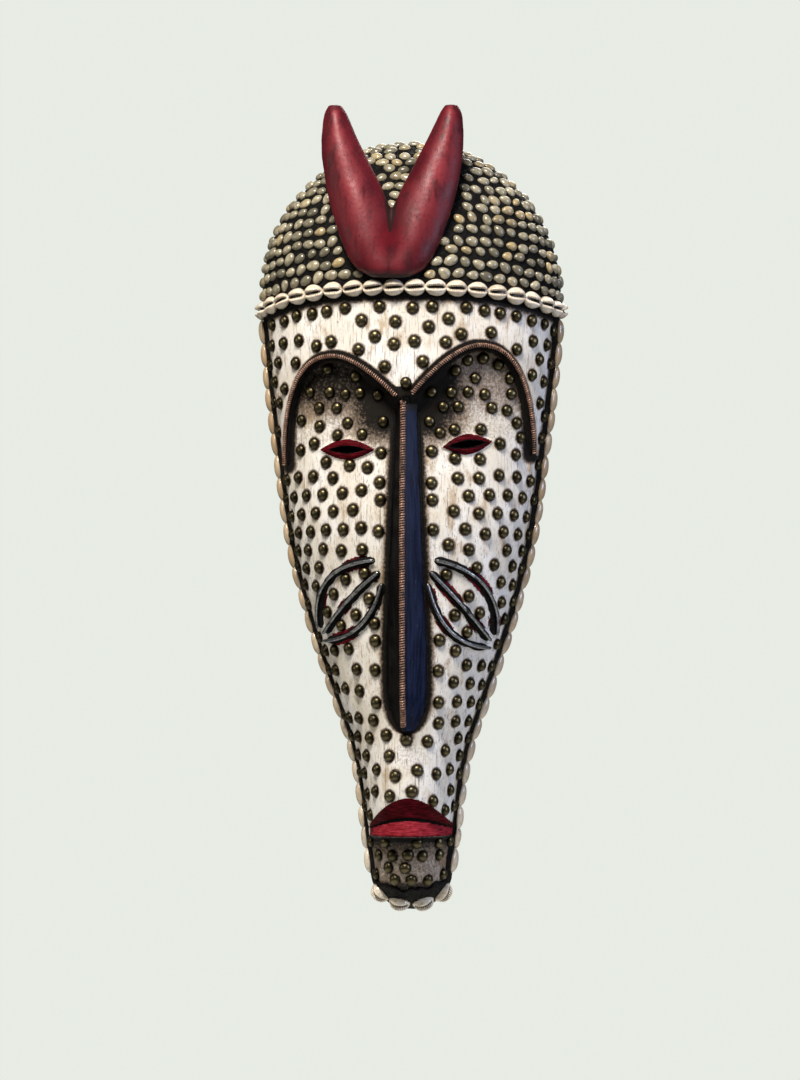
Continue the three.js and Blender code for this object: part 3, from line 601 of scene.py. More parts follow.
class Paint:
    """Builds one node material on a Principled shader."""

    def __init__(self, name, roughness=0.5, metallic=0.0, **settings):
        self.material = bpy.data.materials.new(name)
        self.material.use_nodes = True
        self.tree = self.material.node_tree
        self.shader = self.tree.nodes["Principled BSDF"]
        self.shader.inputs["Roughness"].default_value = roughness
        self.shader.inputs["Metallic"].default_value = metallic
        for key, value in settings.items():
            self.shader.inputs[key.replace("_", " ")].default_value = value
        self.coordinates = self.tree.nodes.new("ShaderNodeTexCoord").outputs["Object"]

    def add(self, kind, inputs=None, **settings):
        node = self.tree.nodes.new(kind)
        for key, value in settings.items():
            setattr(node, key, value)
        for key, value in (inputs or {}).items():
            self.put(value, node.inputs[key])
        return node

    def put(self, value, socket):
        if isinstance(value, bpy.types.NodeSocket):
            self.tree.links.new(value, socket)
        else:
            socket.default_value = value

    def noise(self, size, detail=4.0, rough=0.55, shift=0.0):
        """Noise with features of `size` millimetres, one number or three for x, y and z."""
        sizes = size if isinstance(size, tuple) else (size, size, size)
        scale = tuple(1.0 / (s * MM) for s in sizes)
        mapping = self.add("ShaderNodeMapping", {"Vector": self.coordinates, "Scale": scale})
        mapping.inputs["Location"].default_value = (shift, shift * 1.7, shift * 0.6)
        inputs = {"Vector": mapping.outputs[0], "Scale": 1.0, "Detail": detail, "Roughness": rough}
        return self.add("ShaderNodeTexNoise", inputs).outputs["Fac"]

    def band(self, value, low, high, start=0.0, end=1.0):
        """From `start` to `end`, smoothly, as `value` goes from `low` to `high`."""
        inputs = {"Value": value, "From Min": low, "From Max": high, "To Min": start, "To Max": end}
        node = self.add("ShaderNodeMapRange", inputs, interpolation_type="SMOOTHSTEP", clamp=True)
        return node.outputs["Result"]

    def sum(self, a, b, operation="ADD"):
        return self.add("ShaderNodeMath", {0: a, 1: b}, operation=operation).outputs[0]

    def times(self, a, b):
        return self.sum(a, b, "MULTIPLY")

    def mix(self, factor, a, b):
        """Colour `a` where the factor is 0 and `b` where it is 1; each is an RGB triple or a socket."""
        node = self.add("ShaderNodeMix", {"Factor": factor}, data_type="RGBA")
        sockets = [socket for socket in node.inputs if socket.type == "RGBA"]
        for colour, socket in zip((a, b), sockets):
            self.put((*colour, 1.0) if isinstance(colour, tuple) else colour, socket)
        return next(socket for socket in node.outputs if socket.type == "RGBA")

    def shade(self, value, low, high, a, b):
        """Colour `a` up to `low` and colour `b` from `high` on."""
        return self.mix(self.band(value, low, high), a, b)

    def attribute(self, name):
        return self.add("ShaderNodeAttribute", attribute_name=name).outputs["Fac"]

    def ragged(self, name, size, amount, detail=4.0, rough=0.6, shift=0.0):
        """An attribute with an edge that wanders by noise of `size` millimetres."""
        wander = self.sum(self.noise(size, detail, rough, shift=shift), -0.5)
        return self.sum(self.attribute(name), self.times(wander, amount))

    def finish(self, colour, roughness=None, height=None, bump=0.3):
        self.put(colour, self.shader.inputs["Base Color"])
        if roughness is not None:
            self.put(roughness, self.shader.inputs["Roughness"])
        if height is not None:
            node = self.add("ShaderNodeBump", {"Height": height, "Strength": 1.0, "Distance": bump * MM})
            self.put(node.outputs[0], self.shader.inputs["Normal"])
        return self.material


def white_wood_material():
    """White paint worn into vertical grain, brown patina round the tacks, painted shade in the sockets and
    painted shadows under the cap and the lips, red trim.
    """
    p = Paint("white_painted_wood", 0.55, Specular_IOR_Level=0.12)
    grain = p.noise((0.8, 0.8, 17.0), 5.0, 0.7)
    long_grain = p.noise((1.7, 1.7, 60.0), 4.0, 0.7, shift=3.0)
    specks = p.noise((1.1, 1.1, 2.2), 3.0, 0.7, shift=8.0)
    clouds = p.noise((30.0, 30.0, 45.0), 4.0, 0.6, shift=5.0)
    patches = p.noise((12.0, 12.0, 26.0), 5.0, 0.65, shift=12.0)
    base = p.shade(clouds, 0.35, 0.65, (0.74, 0.68, 0.59), (0.86, 0.83, 0.80))
    tan = p.mix(p.times(p.band(patches, 0.52, 0.72), 0.85), base, (0.47, 0.34, 0.21))
    lines = p.times(p.band(grain, 0.44, 0.355), p.band(clouds, 0.3, 0.62, 0.3, 0.85))
    streaks = p.times(p.band(long_grain, 0.40, 0.31), 0.75)
    marks = p.sum(lines, streaks, "MAXIMUM")
    lined = p.mix(marks, tan, (0.16, 0.095, 0.05))
    dots = p.times(p.band(specks, 0.375, 0.295), p.band(patches, 0.42, 0.58, 0.45, 1.0))
    dotted = p.mix(dots, lined, (0.03, 0.022, 0.016))
    # Brown, then near black: stains round the tacks, by the nose, muzzle and rim, and painted shade and
    # shadow in the sockets, under the cap and under the lower lip.
    grime = p.ragged("grime", 2.2, 0.9, 5.0, 0.7, 20.0)
    browned_and_shaded = p.mix(p.times(p.band(grime, 0.10, 0.60), 0.88), dotted, (0.155, 0.10, 0.062))
    dark = p.shade(grime, 0.50, 0.84, browned_and_shaded, (0.010, 0.008, 0.0065))
    red_mask = p.band(p.ragged("red", 1.6, 0.5, shift=31.0), 0.46, 0.54)
    strokes = p.noise((9.0, 9.0, 0.9), 4.0, 0.6, shift=40.0)
    # The deep red paints shade on the upper lip and also serves the eyelids; the bright red paints the lower
    # lip as lit from above.
    deep = p.shade(strokes, 0.4, 0.62, (0.030, 0.0008, 0.0025), (0.115, 0.004, 0.009))
    bright = p.shade(strokes, 0.4, 0.62, (0.17, 0.008, 0.014), (0.33, 0.030, 0.045))
    red = p.shade(p.attribute("red"), 0.82, 0.95, deep, bright)
    worn = p.noise((6.0, 6.0, 1.1), 5.0, 0.7, shift=44.0)
    painted = p.mix(red_mask, dark, p.shade(worn, 0.58, 0.68, red, (0.012, 0.003, 0.004)))
    # Black paint in the eye slits and between the lips, and a painted shadow under the lower lip.
    colour = p.shade(p.ragged("black_paint_and_shadow", 1.4, 0.6, shift=70.0), 0.4, 0.62, painted, (0.004, 0.003, 0.003))
    pits = p.sum(p.times(marks, -0.5), p.times(dots, -0.8))
    height = p.sum(pits, p.times(p.noise(3.0, 4.0, 0.6, shift=50.0), 0.5))
    rough = p.band(p.noise(14.0, 3.0, 0.5, shift=60.0), 0.35, 0.65, 0.42, 0.66)
    p.put(p.band(red_mask, 0.0, 1.0, 0.12, 0.03), p.shader.inputs["Specular IOR Level"])
    return p.finish(colour, rough, height, 0.35)


def bare_wood_material():
    p = Paint("bare_wood", 0.75)
    grain = p.noise((2.2, 2.2, 60.0), 5.0, 0.65)
    clouds = p.noise(40.0, 4.0, 0.6, shift=4.0)
    base = p.shade(clouds, 0.35, 0.65, (0.20, 0.115, 0.06), (0.33, 0.21, 0.12))
    lined = p.shade(grain, 0.5, 0.34, base, (0.07, 0.038, 0.02))
    height = p.sum(p.times(grain, 0.7), p.times(p.noise((9.0, 9.0, 22.0), 2.0, 0.5, shift=9.0), 1.6))
    return p.finish(lined, p.band(grain, 0.3, 0.7, 0.85, 0.65), height, 0.8)


def mastic_material():
    p = Paint("black_mastic", 0.7, Specular_IOR_Level=0.12)
    grit = p.noise(0.9, 4.0, 0.7)
    lumps = p.noise(3.4, 4.0, 0.6, shift=6.0)
    # Pale specks on the grit: painted glints.
    pale = p.times(p.band(grit, 0.60, 0.72), p.band(lumps, 0.4, 0.6, 0.3, 1.0))
    base = p.shade(lumps, 0.35, 0.7, (0.0018, 0.0016, 0.0015), (0.006, 0.0053, 0.0048))
    colour = p.mix(pale, base, (0.06, 0.054, 0.048))
    height = p.sum(p.times(grit, 0.8), lumps)
    return p.finish(colour, p.band(grit, 0.4, 0.65, 0.85, 0.38), height, 1.1)


def crest_material():
    """Deep crimson, brighter along the fronts of the horns with a painted highlight and some rubbed wear, and
    duller in the saddle between them, with painted shade at the foot, in the fork and in the saddle.
    """
    p = Paint("crimson_paint", 0.42, Specular_IOR_Level=0.22)
    sweep = p.noise((9.0, 9.0, 34.0), 5.0, 0.6)
    dashes = p.noise((0.9, 0.9, 3.2), 3.0, 0.65, shift=5.0)
    clouds = p.noise(26.0, 4.0, 0.6, shift=9.0)
    # A lighter red along the forward-facing fronts of the horns: a painted highlight, with some rubbed wear.
    worn = p.times(p.attribute("ridge"), p.band(sweep, 0.32, 0.62, 0.35, 1.0))
    base = p.shade(clouds, 0.3, 0.7, (0.050, 0.0025, 0.006), (0.095, 0.005, 0.010))
    light = p.mix(worn, base, (0.22, 0.024, 0.032))
    smoke = p.mix(p.times(p.band(sweep, 0.5, 0.3), 0.65), light, (0.026, 0.005, 0.007))
    spots = p.times(p.band(dashes, 0.37, 0.30), p.band(clouds, 0.32, 0.6, 0.35, 1.0))
    spotted = p.mix(spots, smoke, (0.012, 0.006, 0.008))
    # Darker at the foot, in the fork and in the saddle: painted shade.
    colour = p.shade(p.ragged("grime", 2.5, 0.7, shift=21.0), 0.4, 0.75, spotted, (0.02, 0.006, 0.006))
    height = p.sum(p.times(spots, -0.8), p.times(sweep, 0.8))
    rough = p.sum(p.band(clouds, 0.3, 0.7, 0.36, 0.5), p.times(p.attribute("saddle"), 0.5))
    p.put(p.band(p.attribute("saddle"), 0.0, 1.0, 0.22, 0.07), p.shader.inputs["Specular IOR Level"])
    return p.finish(colour, rough, height, 0.35)


def lacquer_material():
    """Black lacquer; on the viewer's right side of the nose a dark blue tint is a painted reflection of the
    cool side light.
    """
    p = Paint("black_lacquer", 0.32, Specular_IOR_Level=0.08)
    streaks = p.noise((2.4, 2.4, 40.0), 5.0, 0.6)
    dust = p.noise((1.0, 1.0, 1.6), 3.0, 0.7, shift=7.0)
    # The dark blue is a painted reflection of the cool side light on the nose's right side.
    cool_reflection = p.shade(streaks, 0.35, 0.65, (0.004, 0.006, 0.018), (0.010, 0.016, 0.045))
    black = p.shade(streaks, 0.35, 0.65, (0.0015, 0.0015, 0.002), (0.006, 0.0055, 0.005))
    black_with_cool_reflection = p.mix(p.attribute("flank"), black, cool_reflection)
    dusty = p.mix(p.times(p.band(dust, 0.66, 0.74), 0.7), black_with_cool_reflection, (0.16, 0.16, 0.17))
    colour = p.shade(p.ragged("grime", 2.5, 0.7, shift=21.0), 0.35, 0.65, dusty, (0.008, 0.007, 0.006))
    height = p.sum(p.times(streaks, 0.6), p.times(dust, 0.2))
    return p.finish(colour, p.band(streaks, 0.3, 0.7, 0.28, 0.46), height, 0.4)


def copper_material():
    """Copper wire with patches of patina, over a core painted near black, which stands in for the shade
    between the turns.
    """
    p = Paint("copper_wire", 0.36, 0.4)
    tone = p.noise(4.5, 3.0, 0.6)
    patina = p.noise(11.0, 4.0, 0.6, shift=5.0)
    base = p.shade(tone, 0.35, 0.65, (0.20, 0.105, 0.072), (0.50, 0.285, 0.20))
    worn = p.mix(p.times(p.band(patina, 0.5, 0.68), 0.8), base, (0.035, 0.022, 0.018))
    # The near-black core is painted shade in the gaps between the turns.
    colour = p.mix(p.attribute("core"), worn, (0.004, 0.003, 0.003))
    return p.finish(colour, p.band(tone, 0.3, 0.7, 0.5, 0.28), p.noise(0.5, 2.0), 0.05)


def steel_material():
    p = Paint("grey_wire", 0.34, 1.0)
    scratch = p.noise(1.6, 4.0, 0.65)
    patina = p.noise(7.0, 4.0, 0.6, shift=5.0)
    base = p.shade(scratch, 0.35, 0.65, (0.13, 0.132, 0.138), (0.36, 0.365, 0.375))
    colour = p.shade(patina, 0.52, 0.7, base, (0.03, 0.03, 0.03))
    return p.finish(colour, p.band(scratch, 0.3, 0.7, 0.48, 0.27), scratch, 0.06)


def tack_material():
    p = Paint("antique_brass", 0.34, 1.0)
    mottle = p.noise(1.8, 4.0, 0.6)
    tint = p.mix(p.attribute("tone"), (0.085, 0.069, 0.036), (0.15, 0.122, 0.064))
    worn = p.shade(p.attribute("crown"), 0.3, 1.0, (0.022, 0.018, 0.011), tint)
    colour = p.mix(p.times(p.band(mottle, 0.56, 0.7), 0.6), worn, (0.030, 0.024, 0.015))
    return p.finish(colour, p.band(mottle, 0.3, 0.7, 0.28, 0.44), mottle, 0.10)


def shell_material(name, cap):
    """Cowrie lips, or the small mottled shells of the cap."""
    p = Paint(name, 0.22 if cap else 0.3, Coat_Weight=0.4, Coat_Roughness=0.16)
    tone = p.attribute("tone")
    cloud = p.noise(3.2, 3.0, 0.6)
    if cap:
        pale = p.mix(tone, (0.115, 0.102, 0.068), (0.41, 0.36, 0.25))
        warm = p.shade(p.attribute("warm"), 0.7, 1.0, pale, (0.40, 0.30, 0.15))
        base = p.mix(p.times(p.band(cloud, 0.42, 0.66), 0.5), warm, (0.085, 0.075, 0.055))
    else:
        pale = p.mix(tone, (0.42, 0.30, 0.18), (0.80, 0.72, 0.60))
        base = p.mix(p.times(p.band(cloud, 0.45, 0.7), 0.6), pale, (0.42, 0.26, 0.13))
    # Darker in the cowries' slots and teeth and round the feet of all shells: painted shade and shadow, with
    # some soiling.
    colour = p.shade(p.ragged("dirt", 0.9, 0.5, 3.0, shift=9.0), 0.35, 0.8, base, (0.025, 0.018, 0.012))
    return p.finish(colour, p.band(cloud, 0.3, 0.7, 0.17, 0.32), cloud, 0.06)


def floor_material():
    p = Paint("pale_floor", 0.8)
    return p.finish(p.mix(p.noise(60.0, 3.0), (0.72, 0.735, 0.70), (0.76, 0.77, 0.74)))


# ------------------------------------------------------------------ where the tacks go

def head_size(height):
    """Half width and depth of the head at a height."""
    return float(half_width(height) * round_ends(height)), float(full_depth(height) * round_ends(height))


def brow_path(side, steps=60):
    sign, brow = SIDES[side], BROWS[side]
    across = np.linspace(brow["inner"][0], brow["apex"][0], steps, endpoint=False)
    inner = np.stack([across, brow_line(brow, across)], -1)
    angle = np.linspace(0.0, np.pi / 2, steps)
    out = np.sin(angle) ** (2 / BROW_OUTER_POWER)
    up = np.cos(angle) ** (2 / BROW_OUTER_POWER)
    outer = np.stack([lerp(brow["apex"][0], brow["outer"][0], out),
                      lerp(brow["outer"][1], brow["apex"][1], up)], -1)
    path = np.vstack([inner, outer])
    path[:, 0] *= sign
    return path


def cheek_path(side, wire, steps=40):
    start, bend, end = (np.array(point, float) for point in wire)
    bend[1] -= CHEEK_DROP[side]
    end[1] -= CHEEK_DROP[side]
    t = np.linspace(0.0, 1.0, steps)[:, None]
    path = (1 - t) ** 2 * start + 2 * t * (1 - t) * bend + t * t * end
    path[:, 0] *= SIDES[side] * CHEEK_REACH[side]
    return path


def nose_half(height):
    down = (NOSE_ROOT - height) / (NOSE_ROOT - NOSE_TIP)
    widen = lerp(NOSE_ROOT_HALF, NOSE_HALF, np.clip(down / 0.75, 0.0, 1.0))
    tip = np.sqrt(np.maximum(1 - (np.maximum(down - 0.86, 0.0) / 0.145) ** 2, 0.0))
    return widen * tip


def cap_edge(turn):
    return lerp(CAP_EDGE_MIDDLE, CAP_EDGE_SIDE, np.abs(np.sin(turn)) ** 3)


def distance_to(path, place):
    return float(np.hypot(path[:, 0] - place[0], path[:, 1] - place[1]).min())


class TackPlan:
    """Places of tacks as (x, height), kept apart from each other and from what the face carries."""

    def __init__(self):
        self.places = []
        self.brow_paths = [brow_path(side) for side in SIDES]
        self.wire_paths = [cheek_path(side, wire) for side in SIDES for wire in CHEEK_WIRES]

    def clear(self, x, height):
        """True where a tack would stand clear of everything but the other tacks."""
        width, depth = head_size(height)
        if abs(x) >= width * 0.995:
            return False
        turn = math.asin(x / width)
        if depth * math.cos(turn) ** FRONT_FLATNESS < RIM_BAND + RIM_CLEARANCE:
            return False
        if height > float(cap_edge(turn)) - CAP_CLEARANCE:
            return False
        if height < lerp(CHIN_MASTIC_TOP, CHIN_MASTIC_SIDES, (x / width) ** 2) + TACK_RADIUS:
            return False
        beside_nose = abs(x - NOSE_MIDDLE) < float(nose_half(height)) + NOSE_CLEARANCE
        if NOSE_TIP - 3 < height < NOSE_ROOT + 6 and beside_nose:
            return False
        if any(math.hypot(x - a, height - b) < PINNED_CLEARANCE for a, b in PINNED_TACKS.values()):
            return False
        if any(distance_to(path, (x, height)) < BROW_CLEARANCE for path in self.brow_paths):
            return False
        if any(distance_to(path, (x, height)) < WIRE_CLEARANCE for path in self.wire_paths):
            return False
        eye = EYES["left"] if x < 0 else EYES["right"]
        if lid_measure(eye, x, height) < LID_CLEARANCE:
            return False
        s, top, _ = mouth_lines(np.array(float(x)))
        below, above = LIP_CLEARANCE
        return not (abs(float(s)) < 1.12 and LIP_BOTTOM - below < height < float(top) + above)

    def put(self, x, height, apart=14.5):
        if not self.clear(x, height):
            return
        here = on_face(x, height)
        if all(np.linalg.norm(here - there) > apart for _, _, there in self.places):
            self.places.append((float(x), float(height), here))

    def settle(self, fixed, reach=19.5, rounds=9):
        """Lets the tacks after the first `fixed` ones drift apart until they are evenly spread."""
        spots = np.array([there for _, _, there in self.places])
        for _ in range(rounds):
            for i in range(fixed, len(spots)):
                x, height, here = self.places[i]
                away = here - spots
                gaps = np.linalg.norm(away, axis=1)
                gaps[i] = reach
                near = gaps < reach
                push = (away[near] / gaps[near, None] * (reach - gaps[near, None])).sum(axis=0) * 0.22
                x, height = x + float(push[0]), height + float(push[2])
                if self.clear(x, height):
                    spots[i] = on_face(x, height)
                    self.places[i] = (x, height, spots[i])

    def along(self, path, spacing, apart=14.5, jitter=1.0):
        """A row along a path, spaced over both the places on the face and (x, height)."""
        points = np.array([np.append(on_face(x, h), (x, h)) for x, h in path])
        for point in along_path(points, spacing)[0]:
            self.put(point[3] + rng.uniform(-jitter, jitter), point[4] + rng.uniform(-jitter, jitter), apart)

    def fill(self, spacing, row_step, apart, low, high, wanted=lambda x, height: True):
        """Rows from `high` down to `low`, every other one shifted by half a spacing."""
        turns = np.linspace(-math.pi / 2, math.pi / 2, 721)
        height, offset = high, 0.0
        while height > low:
            width = head_size(height)[0]
            forward = float(full_depth(height)) * np.cos(turns) ** FRONT_FLATNESS
            run = running_length(np.stack([width * np.sin(turns), -forward], -1))
            count = int(run[-1] / spacing)
            for i in range(count + 1):
                at = (i + offset) * run[-1] / count + rng.uniform(-2.2, 2.2)
                turn = np.interp(at, run, turns)
                sag = 0.06 * width * (math.cos(turn) - 1.0) * (1.0 if height > 300 else 0.4)
                x, place = width * math.sin(turn), height + sag + rng.uniform(-2.2, 2.2)
                if wanted(x, place):
                    self.put(x, place, apart)
            height -= row_step
            offset = 0.5 - offset


def in_socket(x, height):
    return inside_brow(BROWS["left" if x < 0 else "right"], abs(x), height) > 0


def plan_tacks():
    """Rows beside the brows, the nose, the cap, the eyes and the lips, then the sockets and the rest."""
    plan = TackPlan()
    for side, sign in SIDES.items():
        brow = brow_path(side)
        steps = np.gradient(brow, axis=0)
        across = unit(np.stack([-steps[:, 1], steps[:, 0]], -1) * -sign)
        for row, way in (("above brow", -1.0), ("below brow", 1.0)):
            away, spacing = TACK_ROWS[row]
            plan.along(brow + way * across * away, spacing)
    away, spacing = TACK_ROWS["nose"]
    heights = np.linspace(440.0, 170.0, 60)
    for sign in SIDES.values():
        plan.along(np.stack([NOSE_MIDDLE + sign * (nose_half(heights) + away), heights], -1), spacing)
    away, spacing = TACK_ROWS["cap"]
    turns = np.linspace(-1.2, 1.2, 80)
    plan.along(np.stack([(CROWN_HALF - 0.5) * np.sin(turns), cap_edge(turns) - away], -1), spacing)
    away, spacing = TACK_ROWS["eye"]
    angle = np.linspace(0, 2 * math.pi, 60)
    for eye in EYES.values():
        across = eye["x"] + (eye["length"] + away) * np.cos(angle)
        plan.along(np.stack([across, eye["height"] + EYE_RING_RISE * np.sin(angle)], -1), spacing)
    s = np.linspace(-1.0, 1.0, 40)
    across = MOUTH_MIDDLE + s * MOUTH_HALF
    away, spacing = TACK_ROWS["upper lip"]
    plan.along(np.stack([across, lerp(LIP_TOP, LIP_TOP_CORNER, s * s) + away], -1), spacing)
    away, spacing = TACK_ROWS["lower lip"]
    plan.along(np.stack([across, np.full(40, LIP_BOTTOM - away)], -1), spacing)
    plan.fill(15.0, 12.6, 13.0, 408.0, 490.0, in_socket)
    for height, start, end in CHIN_TACK_ROWS:
        plan.along(np.array([(start, height), (end, height)]), 19.0, 10.4, 0.6)
    fixed = len(plan.places)
    plan.fill(18.0, 15.0, 14.6, 22.0, 528.0)
    plan.fill(8.0, 5.0, 15.6, 22.0, 528.0)
    plan.settle(fixed)
    return [(x, h) for x, h, _ in plan.places]


# ------------------------------------------------------------------ tacks

def tack_shape(seed, segments=24, rings=9):
    """A pressed domed head with a turned-in rim, its crown on +Z, with small dents."""
    local = random.Random(seed)
    dents = [(local.uniform(0, 2 * math.pi), local.uniform(2.5, 4.2), local.uniform(0.02, 0.08))
             for _ in range(3)]

    def dip(x, y):
        return sum(deep * math.exp(-((x - out * math.cos(a)) ** 2 + (y - out * math.sin(a)) ** 2) / 1.6)
                   for a, out, deep in dents)

    points, crown = [(0.0, 0.0, TACK_RISE)], [1.0]
    for r in range(1, rings + 3):
        angle = r / rings * math.pi / 2
        radius, z = TACK_RADIUS * math.sin(angle), TACK_RISE * math.cos(angle)
        if r > rings:
            radius, z = TACK_RADIUS - 0.35 * (r - rings), -0.45 * (r - rings)
        for i in range(segments):
            around = i / segments * 2 * math.pi
            x, y = radius * math.cos(around), radius * math.sin(around)
            points.append((x, y, z - dip(x, y)))
            crown.append(max(0.0, min(1.0, z / TACK_RISE)))
    return np.array(points), dome_faces(rings + 2, segments), np.array(crown)


def set_tack(shape, place, lift, tone, tilt=(0.0, 0.0, 0.0), along=(1.0, 0.0, 0.2), size=1.0):
    """A tack driven into the face at (x, height), with its rim `lift` millimetres off the wood."""
    points, faces, crown = shape
    x, height = place
    turn = float(turn_at(x, height))
    out = smooth_normal(np.array(turn), np.array(float(height))) + np.array(tilt)
    placed = set_down(points * size, carved(turn, height, lift), along, out)
    return placed, faces, {"crown": crown, "tone": np.full(len(points), tone)}


def make_tacks(places, brass):
    shapes = [tack_shape(seed) for seed in range(6)]
    tacks = []
    for place in places:
        tilt = [rng.uniform(-0.07, 0.07) for _ in range(3)]
        shape = rng.choice(shapes)
        spin = rng.uniform(0, 2 * math.pi)
        size = rng.uniform(0.95, 1.04)
        along = np.array([math.cos(spin), 0.3, math.sin(spin)])
        tacks.append(set_tack(shape, place, 0.25, rng.random(), tilt, along, size))
    make_piece("face_tacks", join_shapes(tacks), [brass])


def make_pinned_tacks(brass):
    """The three tacks that the CAD model holds as nodes."""
    for i, (node, place) in enumerate(PINNED_TACKS.items()):
        tack = set_tack(tack_shape(20 + i), place, 0.9, 0.4)
        make_piece(node + "_head", tack, [brass], [node])


# ------------------------------------------------------------------ the carved face

def face_grid(rows, columns):
    """Turns and heights of a grid over the face; the heights crowd together at its two round ends."""
    t = np.linspace(0.0, 1.0, rows)
    low, high = CHIN_BOTTOM + 0.2, HEAD_TOP - 0.2
    even = lerp(low, high, t)
    round_way = lerp(low, high, (1 - np.cos(np.pi * t)) / 2)
    ends = fade(np.minimum(t, 1 - t), 0.0, 0.12)
    heights = lerp(even, round_way, 0.85 * ends)
    turns = np.linspace(-np.pi / 2, np.pi / 2, columns)
    return np.meshgrid(turns, heights)


def hollow_size(height):
    """Half width and depth of the hollow behind the face."""
    middle = (HOLLOW_BOTTOM + HOLLOW_TOP) / 2
    away = (height - middle) / (HOLLOW_TOP - middle)
    round_part = np.sqrt(np.maximum(1 - away * away, 0.0))
    ends = np.minimum(1.0, 0.3 + 0.9 * round_part ** 0.8)
    return ((half_width(height) * round_ends(height) - WALL) * ends,
            (full_depth(height) * round_ends(height) - FRONT_WALL) * ends)


STAINS_AND_SHADE = {  # how dark each mark is at most: tacks, muzzle and rim are stains; the roofs, lip and chin are painted shade
    "tacks": 0.80, "left roof": 0.80, "right roof": 0.55, "muzzle": 0.24,
    "rim": 0.9, "lip": 0.80, "chin": 0.8,
}


def near_brow(side, x, height, mine):
    """Distances from the middle of a brow, and 99 for the points that aren't marked `mine`."""
    tree = tree_of([(a, b, 0.0) for a, b in along_path(brow_path(side), 1.0)[0]])
    return np.array([tree.find((a, b, 0.0))[2] if m else 99.0 for a, b, m in zip(x, height, mine)])


def stains_and_shade_at(points, tack_tree):
    """How dark the face is: stains round the tacks, beside the nose, on the muzzle and by the rim; mastic
    smears and painted shade along the brows; painted shade in the sockets; and painted shadows under the cap
    and under the lower lip down the chin.
    """
    x, height = points[:, 0], points[:, 2]
    near_tack = np.array([tack_tree.find(p)[2] for p in points])
    layers = [STAINS_AND_SHADE["tacks"] * fade(near_tack, TACK_RADIUS - 0.5, TACK_RADIUS + 2.6)]
    for side, sign in SIDES.items():
        mine = (x * sign > 0) & (height > 320) & (height < 510)
        inside = inside_brow(BROWS[side], np.abs(x), height) > 0
        # Along the brows: mastic smears, and painted shade that reaches further into the sockets below them.
        reach = np.where(inside, 11.5, 6.5)
        layers.append(np.where(mine, fade(near_brow(side, x, height, mine), 3.0, reach), 0.0))
        # In the sockets: painted shade under the brow, and in the top inner corner painted shade with a dark
        # stain.
        corner = np.hypot((x - sign * 16.0) / 42.0, (height - 454.0) / 62.0)
        corner_shade_and_stain = (1.0 - 0.75 * smoothstep(corner, 0.25, 1.35)) * smoothstep(height, 380.0, 420.0)
        roof_shade = STAINS_AND_SHADE[f"{side} roof"] * smoothstep(height, 400.0, 455.0)
        layers.append(np.where(mine & inside, np.maximum(corner_shade_and_stain, roof_shade), 0.0))
    beside_nose = np.abs(x - NOSE_MIDDLE) - nose_half(height)
    on_nose = (height > NOSE_TIP - 6) & (height < NOSE_ROOT + 10)
    layers.append(np.where(on_nose, fade(beside_nose, 1.0, 10.0), 0.0))
    muzzle = np.exp(-((x - MOUTH_MIDDLE) / 30.0) ** 2 - ((height - 138.0) / 26.0) ** 2)
    layers.append(STAINS_AND_SHADE["muzzle"] * muzzle)
    beside_rim = fade(-points[:, 1], RIM_BAND, RIM_BAND + 13.0)
    layers.append(np.where(height < CAP_EDGE_MIDDLE, STAINS_AND_SHADE["rim"] * beside_rim, 0.0))
    # A painted shadow just under the cap's edge and its cowries.
    under_cap = cap_edge(turn_at(x, height)) - height
    layers.append(np.where(under_cap > -4, fade(under_cap, 0.0, 8.0), 0.0))
    # A painted shadow under the lower lip, fading down the chin, and painted shade at the chin's bottom.
    under_lip = LIP_BOTTOM - height
    lip_shadow = STAINS_AND_SHADE["lip"] - 0.30 * smoothstep(under_lip, 2.0, 22.0)
    layers.append(np.where(under_lip > 0, lip_shadow, 0.0))
    layers.append(STAINS_AND_SHADE["chin"] * fade(height, 22.0, 36.0))
    return np.maximum.reduce(layers)


def black_paint_and_shadow_at(points):
    """1 in the eye slits and along the line where the lips meet, which are painted black, in a painted shadow
    under the lower lip, and part way on the right eye's lids.
    """
    x, height = points[:, 0], points[:, 2]
    layers = [np.zeros(len(points))]
    for side, eye in EYES.items():
        along, across = in_eye(eye, x, height)
        edge = SLIT_HALF_HEIGHT * np.maximum(1 - (along / SLIT_HALF_LENGTH) ** 2, 0.0)
        in_slit = (np.abs(along) < SLIT_HALF_LENGTH + 1.5) & (points[:, 1] < -30)
        layers.append(np.where(in_slit, fade(np.abs(across) - edge, 0.1, 1.1), 0.0))
        if side == "right":
            layers.append(np.where(lid_measure(eye, x, height) < 1.1, 0.44, 0.0))
    s, _, line = mouth_lines(x)
    at_mouth = (np.abs(s) < 1.08) & (points[:, 1] < -20)
    thick = 0.9 + 1.0 * (1 - np.minimum(s * s, 1.0))
    between = fade(np.abs(height - line - 0.8), thick * 0.5, thick * 1.3)
    # A painted shadow in a band under the lower lip's overhang.
    below = fade(np.abs(height - (LIP_BOTTOM - 3.2)), 1.8, 3.8)
    layers.append(np.where(at_mouth, np.maximum(between, below), 0.0))
    return np.maximum.reduce(layers)


